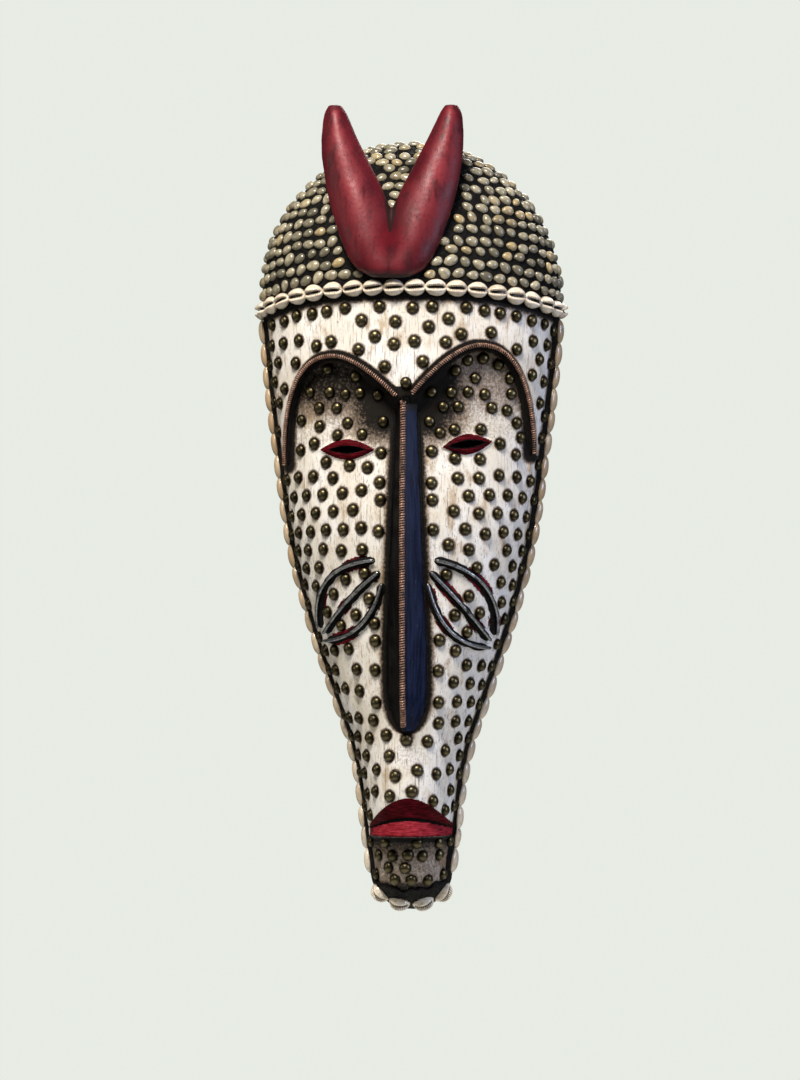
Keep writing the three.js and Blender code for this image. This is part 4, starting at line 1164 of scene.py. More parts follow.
def red_at(points):
    """Where the paint is red: the lips, the eyelids and thin edges beside the cheek wires; the upper lip's
    lower value gives it a deeper red, a painted shade.
    """
    x, height = points[:, 0], points[:, 2]
    s, top, line = mouth_lines(x)
    lips = smoothstep(height, LIP_BOTTOM - 0.6, LIP_BOTTOM + 0.6) * fade(height, top - 0.5, top + 0.7)
    lips = lips * fade(np.abs(s), 1.02, 1.06)
    # The upper lip's lower value picks the deeper red: painted shade under the upper lip, with the lower
    # lip's brighter red as if lit from above.
    red = lips * np.where(height > line, 0.72, 1.0)
    for side, eye in EYES.items():
        lids = 0.78 * fade(lid_measure(eye, x, height), 0.98, 1.14)
        red = np.maximum(red, np.where(on_side(side, x), lids, 0.0))
    cheeks = np.where((height > 215) & (height < 318) & (np.abs(x) > 14))[0]
    for i, (side, wire) in enumerate((s, w) for s in SIDES for w in CHEEK_WIRES):
        fine, _ = along_path(cheek_path(side, wire), 1.0)
        for k in cheeks:
            if x[k] * SIDES[side] <= 0:
                continue
            gaps = np.hypot(fine[:, 0] - x[k], fine[:, 1] - height[k])
            j = int(gaps.argmin())
            weight = 0.5 + 0.6 * math.sin(j * 0.11 + i * 2.1) * math.sin(j * 0.043 + i)
            if gaps[j] < 5.5 and 5 < j < len(fine) - 6:
                red[k] = max(red[k], weight)
    return red


def make_face(tack_places, white, bare):
    rows, columns, inner_columns = 560, 260, 41
    turns, heights = face_grid(rows, columns)
    outer = carved(turns, heights).reshape(-1, 3)
    out = normal_at(turns, np.clip(heights, CHIN_BOTTOM + 2, HEAD_TOP - 2)).reshape(-1, 3)
    worked = 0.35 * fine_noise(outer, 24.0) + 0.16 * fine_noise(outer * np.array([1, 1, 0.3]), 5.0, 2.0)
    free = smoothstep(-outer[:, 1], 2.0, 14.0)
    outer = outer + out * (worked * free)[:, None]
    levels = lerp(HOLLOW_BOTTOM, HOLLOW_TOP, (1 - np.cos(np.pi * np.linspace(0.0, 1.0, rows))) / 2)
    wide, deep = hollow_size(levels)
    inner_turns = np.linspace(-np.pi / 2, np.pi / 2, inner_columns)
    inner = np.stack([wide[:, None] * np.sin(inner_turns),
                      -deep[:, None] * np.maximum(np.cos(inner_turns), 0.0) ** 0.8,
                      np.repeat(levels[:, None], inner_columns, 1)], -1)
    gouged = 0.9 * fine_noise(inner.reshape(-1, 3), 14.0, 5.0).reshape(rows, inner_columns)
    inner[:, 1:-1, 1] += gouged[:, 1:-1] * np.sin(np.linspace(0, np.pi, inner_columns - 2)) ** 0.4
    start, last, inner_last = len(outer), columns - 1, inner_columns - 1
    faces = grid_faces(rows, columns)
    faces += grid_faces(rows, inner_columns, start=start, flip=True)
    for r in range(rows - 1):
        a, b = r * columns, (r + 1) * columns
        c, d = start + r * inner_columns, start + (r + 1) * inner_columns
        faces.append((a, b, d, c))
        faces.append((b + last, a + last, c + inner_last, d + inner_last))
    top, inner_top = (rows - 1) * columns, start + (rows - 1) * inner_columns
    faces.append(tuple(start + c for c in range(inner_columns)))
    faces.append(tuple(inner_top + c for c in range(inner_columns))[::-1])
    faces.append((0, last, start + inner_last, start)[::-1])
    faces.append((top, top + last, inner_top + inner_last, inner_top))
    faces.append(tuple(range(columns))[::-1])
    faces.append(tuple(top + c for c in range(columns)))
    shape = np.vstack([outer, inner.reshape(-1, 3)]), faces
    face = make_piece("carved_face", shape, [white, bare], ["face_shell"])
    for eye in EYES.values():
        cut_slit(face, eye)
    colour_face(face, tack_places)


def slit_floor(eye):
    return float(on_face(eye["x"], eye["height"])[1]) + SLIT_DEPTH


def cut_slit(face, eye):
    """Cuts a deep almond groove between the lids."""
    x = np.linspace(-SLIT_HALF_LENGTH, SLIT_HALF_LENGTH, 16)
    rise = SLIT_HALF_HEIGHT * (1 - (x / SLIT_HALF_LENGTH) ** 2)
    upper = np.stack([x, rise * (1 + 0.12 * np.sin(x * 0.9))], -1)
    back = x[-2:0:-1]
    lower = np.stack([back, -rise[-2:0:-1] * (1 + 0.15 * np.sin(back * 1.3 + 1.0))], -1)
    outline = np.vstack([upper, lower])
    cos, sin = math.cos(eye["tilt"]), math.sin(eye["tilt"])
    rings = [[(eye["x"] + a * cos - b * sin, y, eye["height"] + b * cos + a * sin) for a, b in outline]
             for y in (-140.0, slit_floor(eye))]
    points, faces = closed_rings(rings)
    mesh = bpy.data.meshes.new("slit")
    mesh.from_pydata(to_frame(points).tolist(), [], faces)
    cutter = bpy.data.objects.new("slit", mesh)
    bpy.context.scene.collection.objects.link(cutter)
    modifier = face.modifiers.new("slit", "BOOLEAN")
    modifier.operation = "DIFFERENCE"
    modifier.solver = "EXACT"
    modifier.object = cutter
    apply_modifiers(face)
    bpy.data.objects.remove(cutter)


def colour_face(face, tack_places):
    """Sets where the front is darkened by stains and painted shade, where it is red, where it is painted
    black and where it carries a painted shadow, and leaves the wood of the back bare.
    """
    mesh = face.data
    points = mesh_points(mesh)
    surface = on_face(points[:, 0], points[:, 2])
    behind = (points[:, 1] > surface[:, 1] + 3.0) | (points[:, 1] > -0.2)
    for eye in EYES.values():
        along, across = in_eye(eye, points[:, 0], points[:, 2])
        in_groove = (np.abs(along) < SLIT_HALF_LENGTH + 1) & (np.abs(across) < SLIT_HALF_HEIGHT + 1)
        behind &= ~(in_groove & (points[:, 1] < slit_floor(eye) + 1.5))
    front = points[~behind]
    grime, red = np.full(len(points), 0.3), np.zeros(len(points))
    grime[~behind] = stains_and_shade_at(front, tree_of([on_face(x, height) for x, height in tack_places]))
    red[~behind] = red_at(front)
    set_values(mesh, {"grime": grime, "red": red, "black_paint_and_shadow": black_paint_and_shadow_at(points)})
    corners = np.empty(len(mesh.loops), int)
    mesh.loops.foreach_get("vertex_index", corners)
    index = [0] * len(mesh.polygons)
    for polygon in mesh.polygons:
        polygon.use_smooth = True
        start, total = polygon.loop_start, polygon.loop_total
        if behind[corners[start:start + total]].sum() * 2 > total:
            index[polygon.index] = 1
    mesh.polygons.foreach_set("material_index", index)


# ------------------------------------------------------------------ mastic, nose and wires

def mastic_patch(turns, edge, pole, rows, seed):
    """A lumpy skin of mastic from an edge line on the head to its top or to the bottom of the chin."""
    columns = len(turns)
    t = np.linspace(0.0, 1.0, rows)
    reach = pole - edge
    turn_grid = np.repeat(turns[None, :], rows, 0)
    flat_way = edge[None, :] + reach[None, :] * np.sin(t * np.pi / 2)[:, None] ** 0.9
    up = 1.0 if pole > HOOK_HEIGHT else -1.0
    end = HEAD_TOP if up > 0 else CHIN_BOTTOM
    heights = flat_way + up * (MASTIC - 0.3) * smoothstep(t, 0.5, 1.0)[:, None]
    shape = carved(turn_grid, flat_way, 0.0).reshape(-1, 3)
    lumps = 0.5 * fine_noise(shape, 6.0, seed) + 0.4 * fine_noise(shape, 2.2, seed + 1)
    roll = smoothstep(t, 0.0, 0.04)[:, None]
    thick = MASTIC * (0.35 + 0.65 * roll) + np.maximum(lumps.reshape(rows, columns), -0.9) * roll
    limit = end + up * (thick - 0.05)
    heights = np.minimum(heights, limit) if up > 0 else np.maximum(heights, limit)
    top = carved(turn_grid, heights, thick)
    inner_limit = end - up * 1.05
    inner = np.minimum(flat_way, inner_limit) if up > 0 else np.maximum(flat_way, inner_limit)
    under = carved(turn_grid, inner, -1.0)
    points = np.vstack([top.reshape(-1, 3), under.reshape(-1, 3)])
    start = rows * columns
    faces = grid_faces(rows, columns) + grid_faces(rows, columns, start=start, flip=True)
    faces += [(c + 1, c, start + c, start + c + 1) for c in range(columns - 1)]
    last = (rows - 1) * columns
    faces += [(last + c, last + c + 1, start + last + c + 1, start + last + c) for c in range(columns - 1)]
    for r in range(rows - 1):
        for c, turned in ((0, False), (columns - 1, True)):
            a, b = r * columns + c, (r + 1) * columns + c
            quad = (a, b, start + b, start + a)
            faces.append(quad[::-1] if turned else quad)
    if up < 0:
        faces = [face[::-1] for face in faces]
    return points, faces


def make_cap(mastic):
    turns = np.linspace(-np.pi / 2, np.pi / 2, 360)
    skin = mastic_patch(turns, cap_edge(turns), HEAD_TOP - 0.3, 200, 1.0)
    make_piece("cap_skin", skin, [mastic], ["cap_mastic"])


def rim_contour(depth, grow, count):
    """The line round the sides and chin that lies `depth` in front of the wall."""
    sides = np.linspace(CAP_EDGE_SIDE + 6, CHIN_ROUND, 500)
    round_chin = lerp(CHIN_ROUND, CHIN_BOTTOM - grow, np.sin(np.linspace(0, np.pi / 2, 240)))
    levels = np.concatenate([sides, round_chin[1:]])
    ends = round_ends(levels, grow)
    deep = (full_depth(levels) + grow) * ends
    share = np.clip(depth / np.maximum(deep, 1e-6), 0.0, 1.0) ** (1 / FRONT_FLATNESS)
    across = (half_width(levels) + grow) * ends * np.sqrt(np.maximum(1 - share ** 2, 0.0))
    keep = deep >= depth
    across, levels = across[keep], levels[keep]
    right = np.stack([across, np.full(len(across), -depth), levels], -1)
    left = right[::-1] * np.array([-1, 1, 1])
    even, _ = along_path(np.vstack([right, left]), 1.0)
    at = np.linspace(0, len(even) - 1, count)
    return np.stack([np.interp(at, np.arange(len(even)), column) for column in even.T], -1)


def make_rim(mastic):
    """The band down both sides and round the chin, with the patch of mastic under the chin's shells."""
    count, layers = 900, len(RIM_SECTION)
    grid = np.stack([rim_contour(depth * RIM_BAND / 18.0, grow, count) for depth, grow in RIM_SECTION], 1)
    flat = grid.reshape(-1, 3)
    bumps = (0.45 * fine_noise(flat, 5.0, 7.0) + 0.3 * fine_noise(flat, 2.2, 8.0)).reshape(count, layers)
    bumps[:, :2] = 0.0
    bumps[:, -1] = 0.0
    outward = (grid - np.array([0.0, -20.0, 300.0])) * np.array([1.0, 1.0, 0.15])
    grid = grid + unit(outward) * bumps[..., None]
    waves = 1.0 + 2.6 * np.sin(np.arange(count) * 0.11) * np.sin(np.arange(count) * 0.037)
    grid[..., 1] -= waves[:, None] * np.linspace(0, 1, layers)[None, :] ** 4
    turns = np.linspace(-np.pi / 2, np.pi / 2, 180)
    waves = 1.2 * np.sin(turns * 9.0) + 0.8 * np.sin(turns * 17.0 + 1.0)
    edge = lerp(CHIN_MASTIC_TOP, CHIN_MASTIC_SIDES, np.sin(turns) ** 2) + waves
    chin = mastic_patch(turns, edge, CHIN_BOTTOM + 0.3, 44, 9.0)
    make_piece("rim_skin", join_shapes([closed_rings(grid), chin]), [mastic], ["rim_mastic"])


def ribbon(path, left, right, top, seed, step=1.3, across=15):
    """A lumpy band of mastic along a path of (x, height) places; each width is (at the start, at the end)."""
    even, _ = along_path(path, step)
    direction = unit(np.gradient(even, axis=0))
    side = np.stack([direction[:, 1], -direction[:, 0]], -1)
    n = len(even)
    from_end = np.minimum(np.arange(n) + 0.5, n - np.arange(n) - 0.5) * step
    taper = np.minimum(1.0, from_end / 5.0) ** 0.5

    def edge(width, layer):
        wander = np.array([noise.noise(Vector((i * step / 7.0, seed, layer))) for i in range(n)])
        return (np.linspace(*width, n) * taper * (1 + 0.35 * wander))[:, None]

    t = np.linspace(-1.0, 1.0, across)[None, :]
    offset = np.where(t < 0, edge(left, 0.0) * t, edge(right, 9.0) * t)
    x = even[:, :1] + side[:, :1] * offset
    height = even[:, 1:] + side[:, 1:] * offset
    flat = on_face(x, height).reshape(-1, 3)
    grit = (0.35 * fine_noise(flat, 3.0, seed) + 0.25 * fine_noise(flat, 1.6, seed + 1)).reshape(n, across)
    rise = top * (1 - np.abs(t) ** 3.0) * taper[:, None]
    lift = rise + grit * np.sqrt(np.maximum(1 - t ** 2, 0.0))
    lift[:, 0] = lift[:, -1] = -0.4
    under = on_face(x, height, -1.6)[:, ::-1]
    return closed_rings(np.concatenate([on_face(x, height, lift), under], 1))


def make_coil(name, node, line, outward, coil, copper, core_step=1):
    """A close winding of copper wire over a near-black core, which shows between the turns as painted shade.
    """
    turns, turn_faces = winding(line, outward, coil["radius"], coil["pitch"], coil["gauge"])
    core, core_faces = swept_tube(line[::core_step], outward[::core_step], coil["core"], 10)
    wire_shape = turns, turn_faces, {"core": np.zeros(len(turns))}
    core_shape = core, core_faces, {"core": np.ones(len(core))}
    make_piece(name, join_shapes([wire_shape, core_shape]), [copper], [node])


def make_brows(mastic, copper):
    widths = BROW_BED_INSIDE, BROW_BED_OUTSIDE
    for side, sign in SIDES.items():
        path = brow_path(side)
        bed = ribbon(path, *(widths if side == "left" else widths[::-1]), BROW_BED_RISE, 30 + sign)
        make_piece(f"brow_mastic_{side}", bed, [mastic], [f"brow_bed_{side}"])
        fine, _ = along_path(np.hstack(outward_at(path, BED_TOP + COIL_RADIUS)), 1.0)
        fine = np.stack([averaged(column) for column in fine.T], -1)
        make_coil(f"brow_winding_{side}", f"brow_coil_{side}", fine[:, :3], fine[:, 3:], BROW_COIL, copper)


def nose_ridge(height):
    down = (NOSE_ROOT - height) / (NOSE_ROOT - NOSE_TIP)
    foot = on_face(nose_half(height), height)[..., 1]
    return foot - lerp(NOSE_ROOT_RISE, NOSE_RISE, down) * (1 - 0.75 * smoothstep(down, 0.88, 1.04))


def make_nose(lacquer, mastic, copper):
    rows, across = 260, 61
    heights = np.linspace(NOSE_TIP + 0.4, NOSE_ROOT, rows)
    half = np.maximum(nose_half(heights), 1.2)
    ridge = nose_ridge(heights)[:, None]
    foot = on_face(half, heights)[:, 1][:, None]
    t = np.linspace(-1.0, 1.0, across)[None, :]
    roof = np.abs(t) ** 1.12 + 0.06 * np.exp(-(t / 0.1) ** 2)
    x = NOSE_MIDDLE + half[:, None] * t + (RIDGE_MIDDLE - NOSE_MIDDLE) * (1 - np.abs(t))
    front = np.stack([x, ridge + (foot - ridge) * roof, np.repeat(heights[:, None], across, 1)], -1)
    worked = fine_noise(front.reshape(-1, 3) * np.array([1, 1, 0.35]), 9.0, 3.0)
    front[..., 1] += 0.35 * worked.reshape(rows, across)
    sides = front[:, [-1, 0]].copy()
    sides[..., 1] += NOSE_SINK
    points, faces = closed_rings(np.concatenate([front, sides], 1))
    # The nose's right side gets the painted reflection of the cool side light.
    flank = smoothstep(points[:, 0], RIDGE_MIDDLE - 0.5, RIDGE_MIDDLE + 0.5)
    beside = np.abs(points[:, 0] - NOSE_MIDDLE) / np.maximum(nose_half(points[:, 2]), 1.2)
    root = smoothstep(points[:, 2], NOSE_ROOT - 22, NOSE_ROOT)
    grime = np.maximum(smoothstep(beside, 0.88, 1.0) * 0.8, root)
    shape = points, faces, {"flank": flank, "grime": grime}
    make_piece("nose", shape, [lacquer], ["nose_wedge"])
    levels = np.linspace(NOSE_ROOT - 3, NOSE_TIP + 4, 200)
    line = np.stack([np.full(200, RIDGE_MIDDLE), nose_ridge(levels) - NOSE_COIL_RADIUS * 0.62, levels], -1)
    out = np.tile([0.0, -1.0, 0.0], (200, 1))
    make_coil("nose_winding", "nose_coil", line, out, NOSE_COIL, copper, core_step=3)
    levels = np.linspace(436.0, 176.0, 120)
    for side, sign in SIDES.items():
        path = np.stack([NOSE_MIDDLE + sign * (nose_half(levels) + 0.4), levels], -1)
        bed = ribbon(path, NOSE_BED_SIDE, NOSE_BED_SIDE, NOSE_BED_RISE, 50 + sign)
        make_piece(f"nose_mastic_{side}", bed, [mastic], [f"nose_bed_{side}"])


def make_cheeks(mastic, steel):
    for side in SIDES:
        beds = []
        for i, wire in enumerate(CHEEK_WIRES):
            path = cheek_path(side, wire)
            seed = 70 + i + (5 if side == "right" else 0)
            beds.append(ribbon(path, CHEEK_BED_SIDE, CHEEK_BED_SIDE, CHEEK_BED_RISE, seed))
            line = np.hstack(outward_at(path, BED_TOP + FIT + WIRE_RADIUS))
            fine, at = along_path(line, 1.0)
            n = len(fine)
            from_end = np.minimum(np.arange(n) + 0.6, n - np.arange(n) - 0.4)
            taper = np.clip(from_end / 3.0, 0.15, 1.0) ** 0.6
            radius = WIRE_RADIUS * taper * (1 + 0.04 * np.sin(at * 0.7 + i))
            tube = swept_tube(fine[:, :3], fine[:, 3:], radius, 14)
            node = f"cheek_wire_{side}_{i + 1}"
            make_piece(f"cheek_wire_round_{side}_{i + 1}", tube, [steel], [node])
        make_piece(f"cheek_mastic_{side}", join_shapes(beds), [mastic], [f"cheek_bed_{side}"])


# ------------------------------------------------------------------ the crest

def horn_at(height, column):
    return np.interp(height, HORN_STATIONS[:, 0], HORN_STATIONS[:, column])


def horn_sizes(levels):
    """Middle, half width and half thickness of a horn, with the corners of HORN_STATIONS rounded."""
    return [averaged(horn_at(levels, column)) for column in (1, 2, 3)]


def crest_centre(levels):
    return -(CREST_FOOT_DEPTH - (levels - CREST_FOOT) * math.tan(CREST_LEAN))


def horn_front(u):
    return np.maximum(1 - np.abs(u) ** 1.8, 0.0) ** 0.72


def horn_rings(sign, rows=150, around=96):
    levels = np.linspace(CREST_FOOT, HORN_STATIONS[-1, 0], rows)[:, None]
    middle, wide, deep = (values[:, None] for values in horn_sizes(levels[:, 0]))
    angles = np.linspace(0, 2 * np.pi, around, endpoint=False)[None, :]
    u = np.cos(angles)
    section = np.where(np.sin(angles) < 0, -horn_front(u), np.sin(angles))
    x = CREST_MIDDLE + sign * middle + wide * u
    return np.stack([x, crest_centre(levels) + deep * section, np.repeat(levels, around, 1)], -1)


def web_rings(rows=90, across=41):
    """The wood that runs smoothly from one horn into the other under the fork."""
    levels = np.linspace(WEB_FOOT, WEB_TOP, rows)[:, None]
    middle, wide, deep = (values[:, None] for values in horn_sizes(levels[:, 0]))
    x = np.linspace(-WEB_HALF, WEB_HALF, across)[None, :]
    left, right = deep * horn_front((x + middle) / wide), deep * horn_front((x - middle) / wide)
    blend = lerp(WEB_BLEND, 0.6, smoothstep(levels, 584.0, 594.0))
    proud = blend * np.logaddexp(left / blend, right / blend) - 0.15
    proud = np.maximum(proud * smoothstep(levels, WEB_FOOT - 8, WEB_FOOT + 6), -2.0)
    x, height = np.broadcast_arrays(x + CREST_MIDDLE, levels)
    front = np.stack([x, crest_centre(height) - proud, height], -1)
    back = np.stack([x, crest_centre(height) + 3.0, height], -1)[:, ::-1]
    return np.concatenate([front, back], 1)


def make_crest(crimson):
    shapes = [closed_rings(rings) for rings in (horn_rings(-1), horn_rings(1), web_rings())]
    crest = make_piece("crest", join_shapes(shapes), [crimson], ["horn_crest"])
    remesh = crest.modifiers.new("join", "REMESH")
    remesh.mode = "VOXEL"
    remesh.voxel_size = 0.9 * MM
    remesh.use_smooth_shade = True
    soften = crest.modifiers.new("soften", "SMOOTH")
    soften.factor = 0.5
    soften.iterations = 40
    apply_modifiers(crest)
    mesh = crest.data
    points = mesh_points(mesh)
    normals = np.empty(points.size)
    mesh.vertex_normals.foreach_get("vector", normals)
    normals = normals.reshape(-1, 3)
    worked = 0.3 * fine_noise(points * np.array([1, 1, 0.5]), 14.0, 4.0) + 0.08 * fine_noise(points, 3.0, 6.0)
    mesh.vertices.foreach_set("co", to_frame(points + normals * worked[:, None]).ravel())
    set_values(mesh, crest_values(points, normals))
    if not mesh.materials:
        mesh.materials.append(crimson)


def crest_values(points, normals):
    """How bright the horns are along their forward-facing fronts, a painted highlight with some rubbed wear,
    and how dark the crest is at its foot and in its fork, painted shade.
    """
    across, height = np.abs(points[:, 0] - CREST_MIDDLE), points[:, 2]
    away = np.abs(across - horn_at(height, 1)) / horn_at(height, 2)
    # A painted highlight where a horn's front faces forward, stronger higher up, with some rubbed wear.
    ridge = fade(away, 0.0, 0.75) * smoothstep(-normals[:, 1], 0.2, 0.9)
    ridge *= lerp(0.45, 1.0, smoothstep(height, 575.0, 630.0))
    # Darker at the foot where the crest meets the cap, a dark slit painted for the gap in the fork, and
    # darker in the saddle: all painted shade.
    foot = fade(height, CREST_FOOT, 556.0)
    fork = lerp(0.3, 4.5, np.clip((height - 588.0) / 26.0, 0.0, 1.0))
    notch = fade(across, fork, fork + 2.0) * smoothstep(height, 584.0, 592.0)
    saddle = np.exp(-(across / 15.0) ** 2 - ((height - 584.0) / 22.0) ** 2)
    grime = np.maximum(np.maximum(foot, notch), 0.3 * saddle)
    return {"ridge": ridge, "grime": grime, "saddle": saddle}


# ------------------------------------------------------------------ shells

def cowrie_relief(x, y, rho, lean):
    """Height of a cowrie's toothed side, and how dark it is; rho is 0 in the middle and 1 on its outline."""
    half_length = COWRIE_LENGTH / 2 + 0.3
    dome = COWRIE_HEIGHT * max(1 - rho ** 2.6, 0.0) ** 0.55
    bend = abs(y - lean * (x / half_length) ** 2 - 0.35 * math.sin(x / half_length * 2.2))
    reach = max(0.0, 1 - (abs(x) / (half_length * 0.97)) ** 4)
    comb = math.cos(2 * math.pi * x / 1.6)
    on_lips = math.exp(-((bend - 1.9) / 0.9) ** 2)
    groove = 3.6 * math.exp(-(bend / 1.45) ** 2.2) * reach
    lips = 0.8 * math.exp(-((bend - 3.2) / 1.4) ** 2) * reach
    teeth = 0.5 * comb * on_lips * reach
    # The slot and the gaps between the teeth are darkened: painted shade.
    dark = math.exp(-(bend / 1.3) ** 4) * reach + 0.95 * max(0.0, -comb) * on_lips * reach
    return dome - groove + lips + teeth, min(dark, 1.0)


def cowrie_shape(seed, segments, rings):
    """A cowrie with its toothed slot on +Z and its long side along X."""
    local = random.Random(seed)
    fat = local.uniform(0.95, 1.06)
    lean = local.uniform(-0.5, 0.5)
    points, dirt = [], []
    for r in range(rings + 1):
        rho = (r / rings) ** 0.85
        for i in range(segments):
            angle = i / segments * 2 * math.pi
            x = (COWRIE_LENGTH / 2 + 0.3) * rho * math.cos(angle)
            egg = (1 - 0.10 * math.cos(angle)) * (1 - 0.10 * abs(math.cos(angle)) ** 3)
            y = COWRIE_WIDTH / 2 * fat * egg * rho * math.sin(angle)
            z, dark = cowrie_relief(x, y, rho, lean)
            points.append((x, y, z - COWRIE_HEIGHT / 2))
            # Darker round the rim too: a painted shadow of the mastic the shell sits in.
            dirt.append(max(dark, 0.5 * max(0.0, (rho - 0.9) / 0.1)))
    faces = [face[::-1] for face in grid_faces(rings + 1, segments, wrap=True)]
    edge, foot = rings * segments, len(points)
    for i in range(segments):
        x, y, _ = points[edge + i]
        points.append((x * 0.8, y * 0.8, -COWRIE_HEIGHT / 2 - 0.6))
        dirt.append(1.0)
    for i in range(segments):
        j = (i + 1) % segments
        faces.append((edge + j, edge + i, foot + i, foot + j))
    faces.append(tuple(foot + i for i in range(segments)))
    return np.array(points), faces, np.array(dirt)


def placed_cowrie(seed, place, along, out, detail, scale=(1.0, 1.0, 1.0), tones=(0.55, 1.0)):
    points, faces, dirt = cowrie_shape(seed, *detail)
    points = points * np.array(scale)
    if rng.random() < 0.5:
        points = points * np.array([-1.0, -1.0, 1.0])
    values = {"dirt": dirt, "tone": np.full(len(points), rng.uniform(*tones))}
    return set_down(points * rng.uniform(0.97, 1.03), place, along, out), faces, values


def make_cap_cowries(cowrie_paint):
    turns = np.linspace(-np.pi / 2, np.pi / 2, 241)
    even, _ = along_path(carved(turns, cap_edge(turns) + 8, MASTIC + FIT), 0.5)
    for i, (place, along) in enumerate(stretches(even, CAP_COWRIES)):
        out = unit(np.array([place[0] / CROWN_HALF ** 2, place[1] / CROWN_DEPTH ** 2, 0.0]))
        out = out + np.array([0, 0, rng.uniform(-0.12, 0.05)])
        tilt = np.array([0, 0, rng.uniform(-0.12, 0.12) * np.linalg.norm(along)])
        centre = place + out * (COWRIE_HEIGHT / 2 - 0.2)
        shape = placed_cowrie(i, centre, along + tilt, out, FULL_COWRIE)
        node = f"cap_cowrie_{i + 1:02d}"
        make_piece(node + "_shell", shape, [cowrie_paint], [node])


def make_chin_cowries(cowrie_paint):
    for i, (x, height) in enumerate(CHIN_COWRIES):
        width = float((half_width(height) + 3) * round_ends(height, 3.0))
        turn = math.asin(max(-0.95, min(0.95, x / width)))
        out = unit(normal_at(np.array(turn), np.array(float(height)), 3.0) * 0.7 + np.array([0, -0.45, 0]))
        place = carved(turn, height, MASTIC + FIT) + out * COWRIE_HEIGHT * 0.4
        along = np.array([1.0, 0.0, math.copysign((x / 26.0) ** 2 * 1.1, x)])
        # The chin's cowries get only the palest tones, standing in for the light from above on them: painted
        # light.
        shape = placed_cowrie(40 + i, place, along, out, FULL_COWRIE, (1.0, 1.0, 1.3), (0.9, 1.0))
        node = f"chin_cowrie_{i + 1}"
        make_piece(node + "_shell", shape, [cowrie_paint], [node])


def make_side_cowries(cowrie_paint):
    """Each side's cowries touch tip to tip and are one piece, paler towards the chin."""
    heights = np.linspace(514.0, 34.0, 400)
    turns = np.arccos((SIDE_LINE / full_depth(heights)) ** (1 / FRONT_FLATNESS))
    for side, sign in SIDES.items():
        even, at = along_path(carved(sign * turns, heights, MASTIC + FIT), 0.5)
        shapes = []
        for i, (spot, along) in enumerate(stretches(even, math.ceil(at[-1] / SIDE_COWRIE_SPACING))):
            along = unit(along)
            out = unit(np.array([sign, -0.12, 0.0]) - along * along[0] * sign)
            place = spot + out * (SIDE_COWRIE_HEIGHT / 2 - 0.2)
            turned = out + rng.uniform(-0.06, 0.06) * along
            pale = lerp(0.85, 0.08, min(place[2] / 350.0, 1.0))
            tones = (pale - 0.2, pale + 0.15)
            size = SMALL_COWRIE, SIDE_COWRIE_SCALE
            shapes.append(placed_cowrie(100 + i, place, along, turned, *size, tones))
        name = f"side_cowrie_shells_{side}"
        make_piece(name, join_shapes(shapes), [cowrie_paint], [f"side_cowries_{side}"])


def small_shell(seed, segments=22, rings=9):
    """An egg-shaped shell, long along X, its dome on +Z, sunk a little into the mastic."""
    local = random.Random(seed)
    a, b, h = local.uniform(5.1, 6.3), local.uniform(3.7, 4.4), local.uniform(3.2, 3.9)
    narrow = local.uniform(0.10, 0.26)
    points, dirt = [(0.0, 0.0, h)], [0.0]
    for r in range(1, rings + 1):
        angle = r / rings * math.pi * 0.56
        for i in range(segments):
            around = i / segments * 2 * math.pi
            x = a * math.sin(angle) * math.cos(around)
            y = b * math.sin(angle) * math.sin(around) * (1 - narrow * x / a)
            points.append((x, y, h * math.cos(angle)))
            # Darker towards the foot: mastic soiling and painted shade where the shell meets the mastic.
            dirt.append(max(0.0, (r / rings - 0.6) / 0.4))
    return np.array(points), dome_faces(rings, segments), np.array(dirt)


def crest_covers(place):
    """True where the crest's foot stands on the cap."""
    x, y, height = place
    if height < 546 or height > 650 or y > -30:
        return False
    return abs(abs(x - CREST_MIDDLE) - horn_at(height, 1)) < horn_at(height, 2) + 1.0


def shell_spots():
    """Places and turns of the cap's shells: rows one above the other, then odd shells that fill the gaps."""
    spots = []

    def try_spot(turn, height):
        place = carved(turn, min(height, SHELL_TOP), MASTIC)
        if crest_covers(place):
            return
        if all(np.linalg.norm(place - other) > SHELL_GAP for other, _ in spots):
            spots.append((place, float(turn)))

    arc = np.linspace(0.0, 1.0, 400)
    middle_rise = HEAD_TOP - CAP_EDGE_MIDDLE - 16.0
    profile = [CROWN_DEPTH * np.cos(arc * np.pi / 2), middle_rise * np.sin(arc * np.pi / 2)]
    run = running_length(np.stack(profile, -1))
    rows = int(run[-1] / SHELL_ROW)
    turns = np.linspace(-SHELL_LAST_TURN, SHELL_LAST_TURN, 721)
    low = cap_edge(turns) + SHELL_FIRST_ROW
    for r in range(rows + 1):
        rise = float(np.interp(r * run[-1] / rows, run, arc))
        heights = low + (SHELL_TOP - low) * math.sin(rise * math.pi / 2)
        line = np.hstack([carved(turns, heights, MASTIC), turns[:, None], heights[:, None]])
        even, at = along_path(line, 0.5)
        count = max(int(at[-1] / SHELL_SPACING), 1)
        for i in range(count):
            entry = even[int((i + (0.25 if r % 2 else 0.75)) / count * (len(even) - 1))]
            try_spot(entry[3], entry[4] + rng.uniform(-1.3, 1.3))
    for _ in range(1500):
        turn = rng.uniform(-SHELL_LAST_TURN, SHELL_LAST_TURN)
        try_spot(turn, rng.uniform(float(cap_edge(turn)) + SHELL_FIRST_ROW, HEAD_TOP))
    return spots


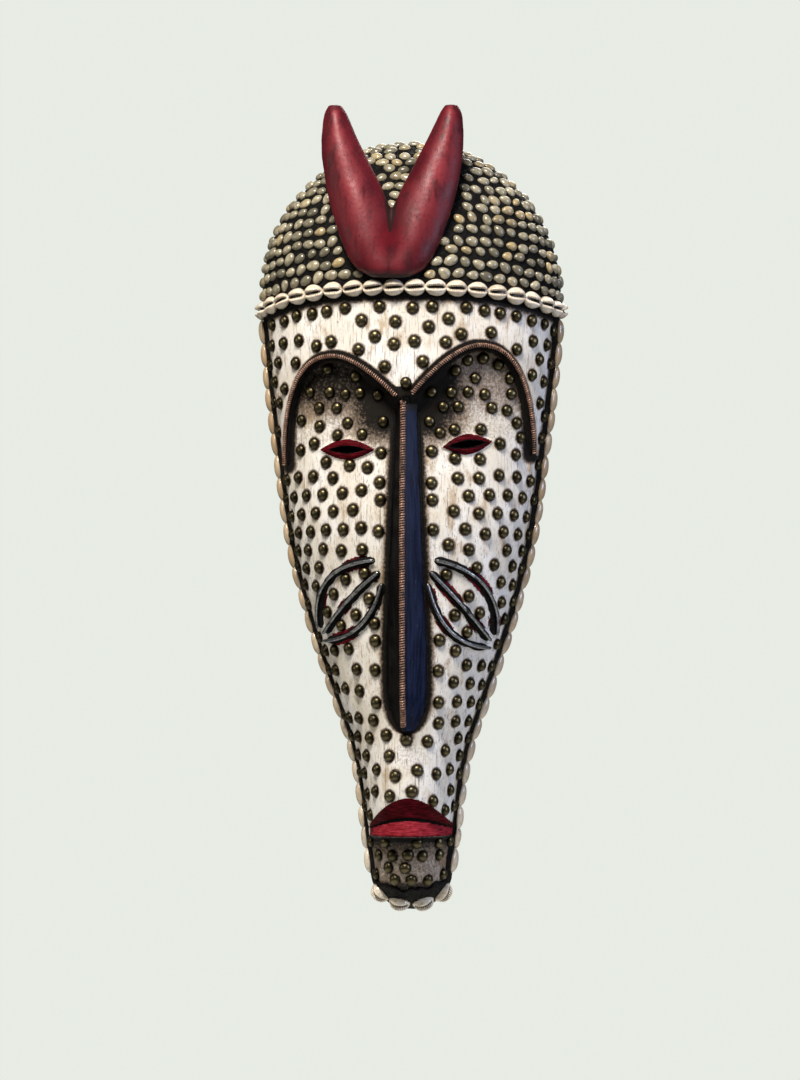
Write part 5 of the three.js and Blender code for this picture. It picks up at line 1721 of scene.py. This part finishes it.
def make_cap_shells(cap_paint):
    shapes = [small_shell(seed) for seed in range(12)]
    crown_size = np.array([CROWN_HALF, CROWN_DEPTH, HEAD_TOP - CROWN])
    shells = []
    for place, turn in shell_spots():
        out = unit((place - np.array([0.0, 0.0, CROWN])) / crown_size ** 2)
        flat = unit(np.cross(out, np.array([0.0, 0.001, 1.0])))
        lean = math.copysign(0.45 * float(smoothstep(abs(turn), 0.0, 0.6)), turn) + rng.gauss(0.0, 0.42)
        along = flat * math.cos(lean) + np.cross(flat, out) * math.sin(lean)
        points, faces, dirt = rng.choice(shapes)
        n = len(points)
        values = {"dirt": dirt, "tone": np.full(n, rng.random()), "warm": np.full(n, rng.random())}
        placed = set_down(points * rng.uniform(0.88, 1.08), place + out * 0.1, along, out)
        shells.append((placed, faces, values))
    make_piece("cap_shells", join_shapes(shells), [cap_paint])


# ------------------------------------------------------------------ the back and the floor

def dress_cad_nodes(bare, steel):
    """The pegs and the hanger stay as the CAD model has them, and get their materials."""
    pegs = {name: bare for name in ("horn_peg_left", "horn_peg_right")}
    hanger = {name: steel for name in ("hanger_nail_left", "hanger_nail_right", "hanger_wire")}
    for node, material in {**pegs, **hanger}.items():
        slots = frame["nodes"][node].data.materials
        slots.clear()
        slots.append(material)


def make_floor(pale):
    sides = 96
    angles = np.linspace(0, 2 * np.pi, sides, endpoint=False)
    points = [(FLOOR_RADIUS * math.cos(a), FLOOR_RADIUS * math.sin(a), 0.0) for a in angles]
    mesh = bpy.data.meshes.new("floor")
    mesh.from_pydata(points, [], [tuple(range(sides))])
    mesh.materials.append(pale)
    floor = bpy.data.objects.new("floor", mesh)
    floor.location = (0.0, 0.0, CAD_BOX[0][2] - FLOOR_DROP)
    bpy.context.scene.collection.objects.link(floor)


# ------------------------------------------------------------------ build

add_camera()
add_studio()

white = white_wood_material()
bare = bare_wood_material()
mastic = mastic_material()
copper = copper_material()
steel = steel_material()
brass = tack_material()
cowrie_paint = shell_material("cowrie_shell", cap=False)
cap_paint = shell_material("small_shell", cap=True)

tack_places = plan_tacks()
make_face(tack_places, white, bare)
make_tacks(tack_places, brass)
make_pinned_tacks(brass)
make_cap(mastic)
make_rim(mastic)
make_brows(mastic, copper)
make_nose(lacquer_material(), mastic, copper)
make_cheeks(mastic, steel)
make_crest(crest_material())
make_cap_cowries(cowrie_paint)
make_chin_cowries(cowrie_paint)
make_side_cowries(cowrie_paint)
make_cap_shells(cap_paint)
dress_cad_nodes(bare, steel)
make_floor(floor_material())
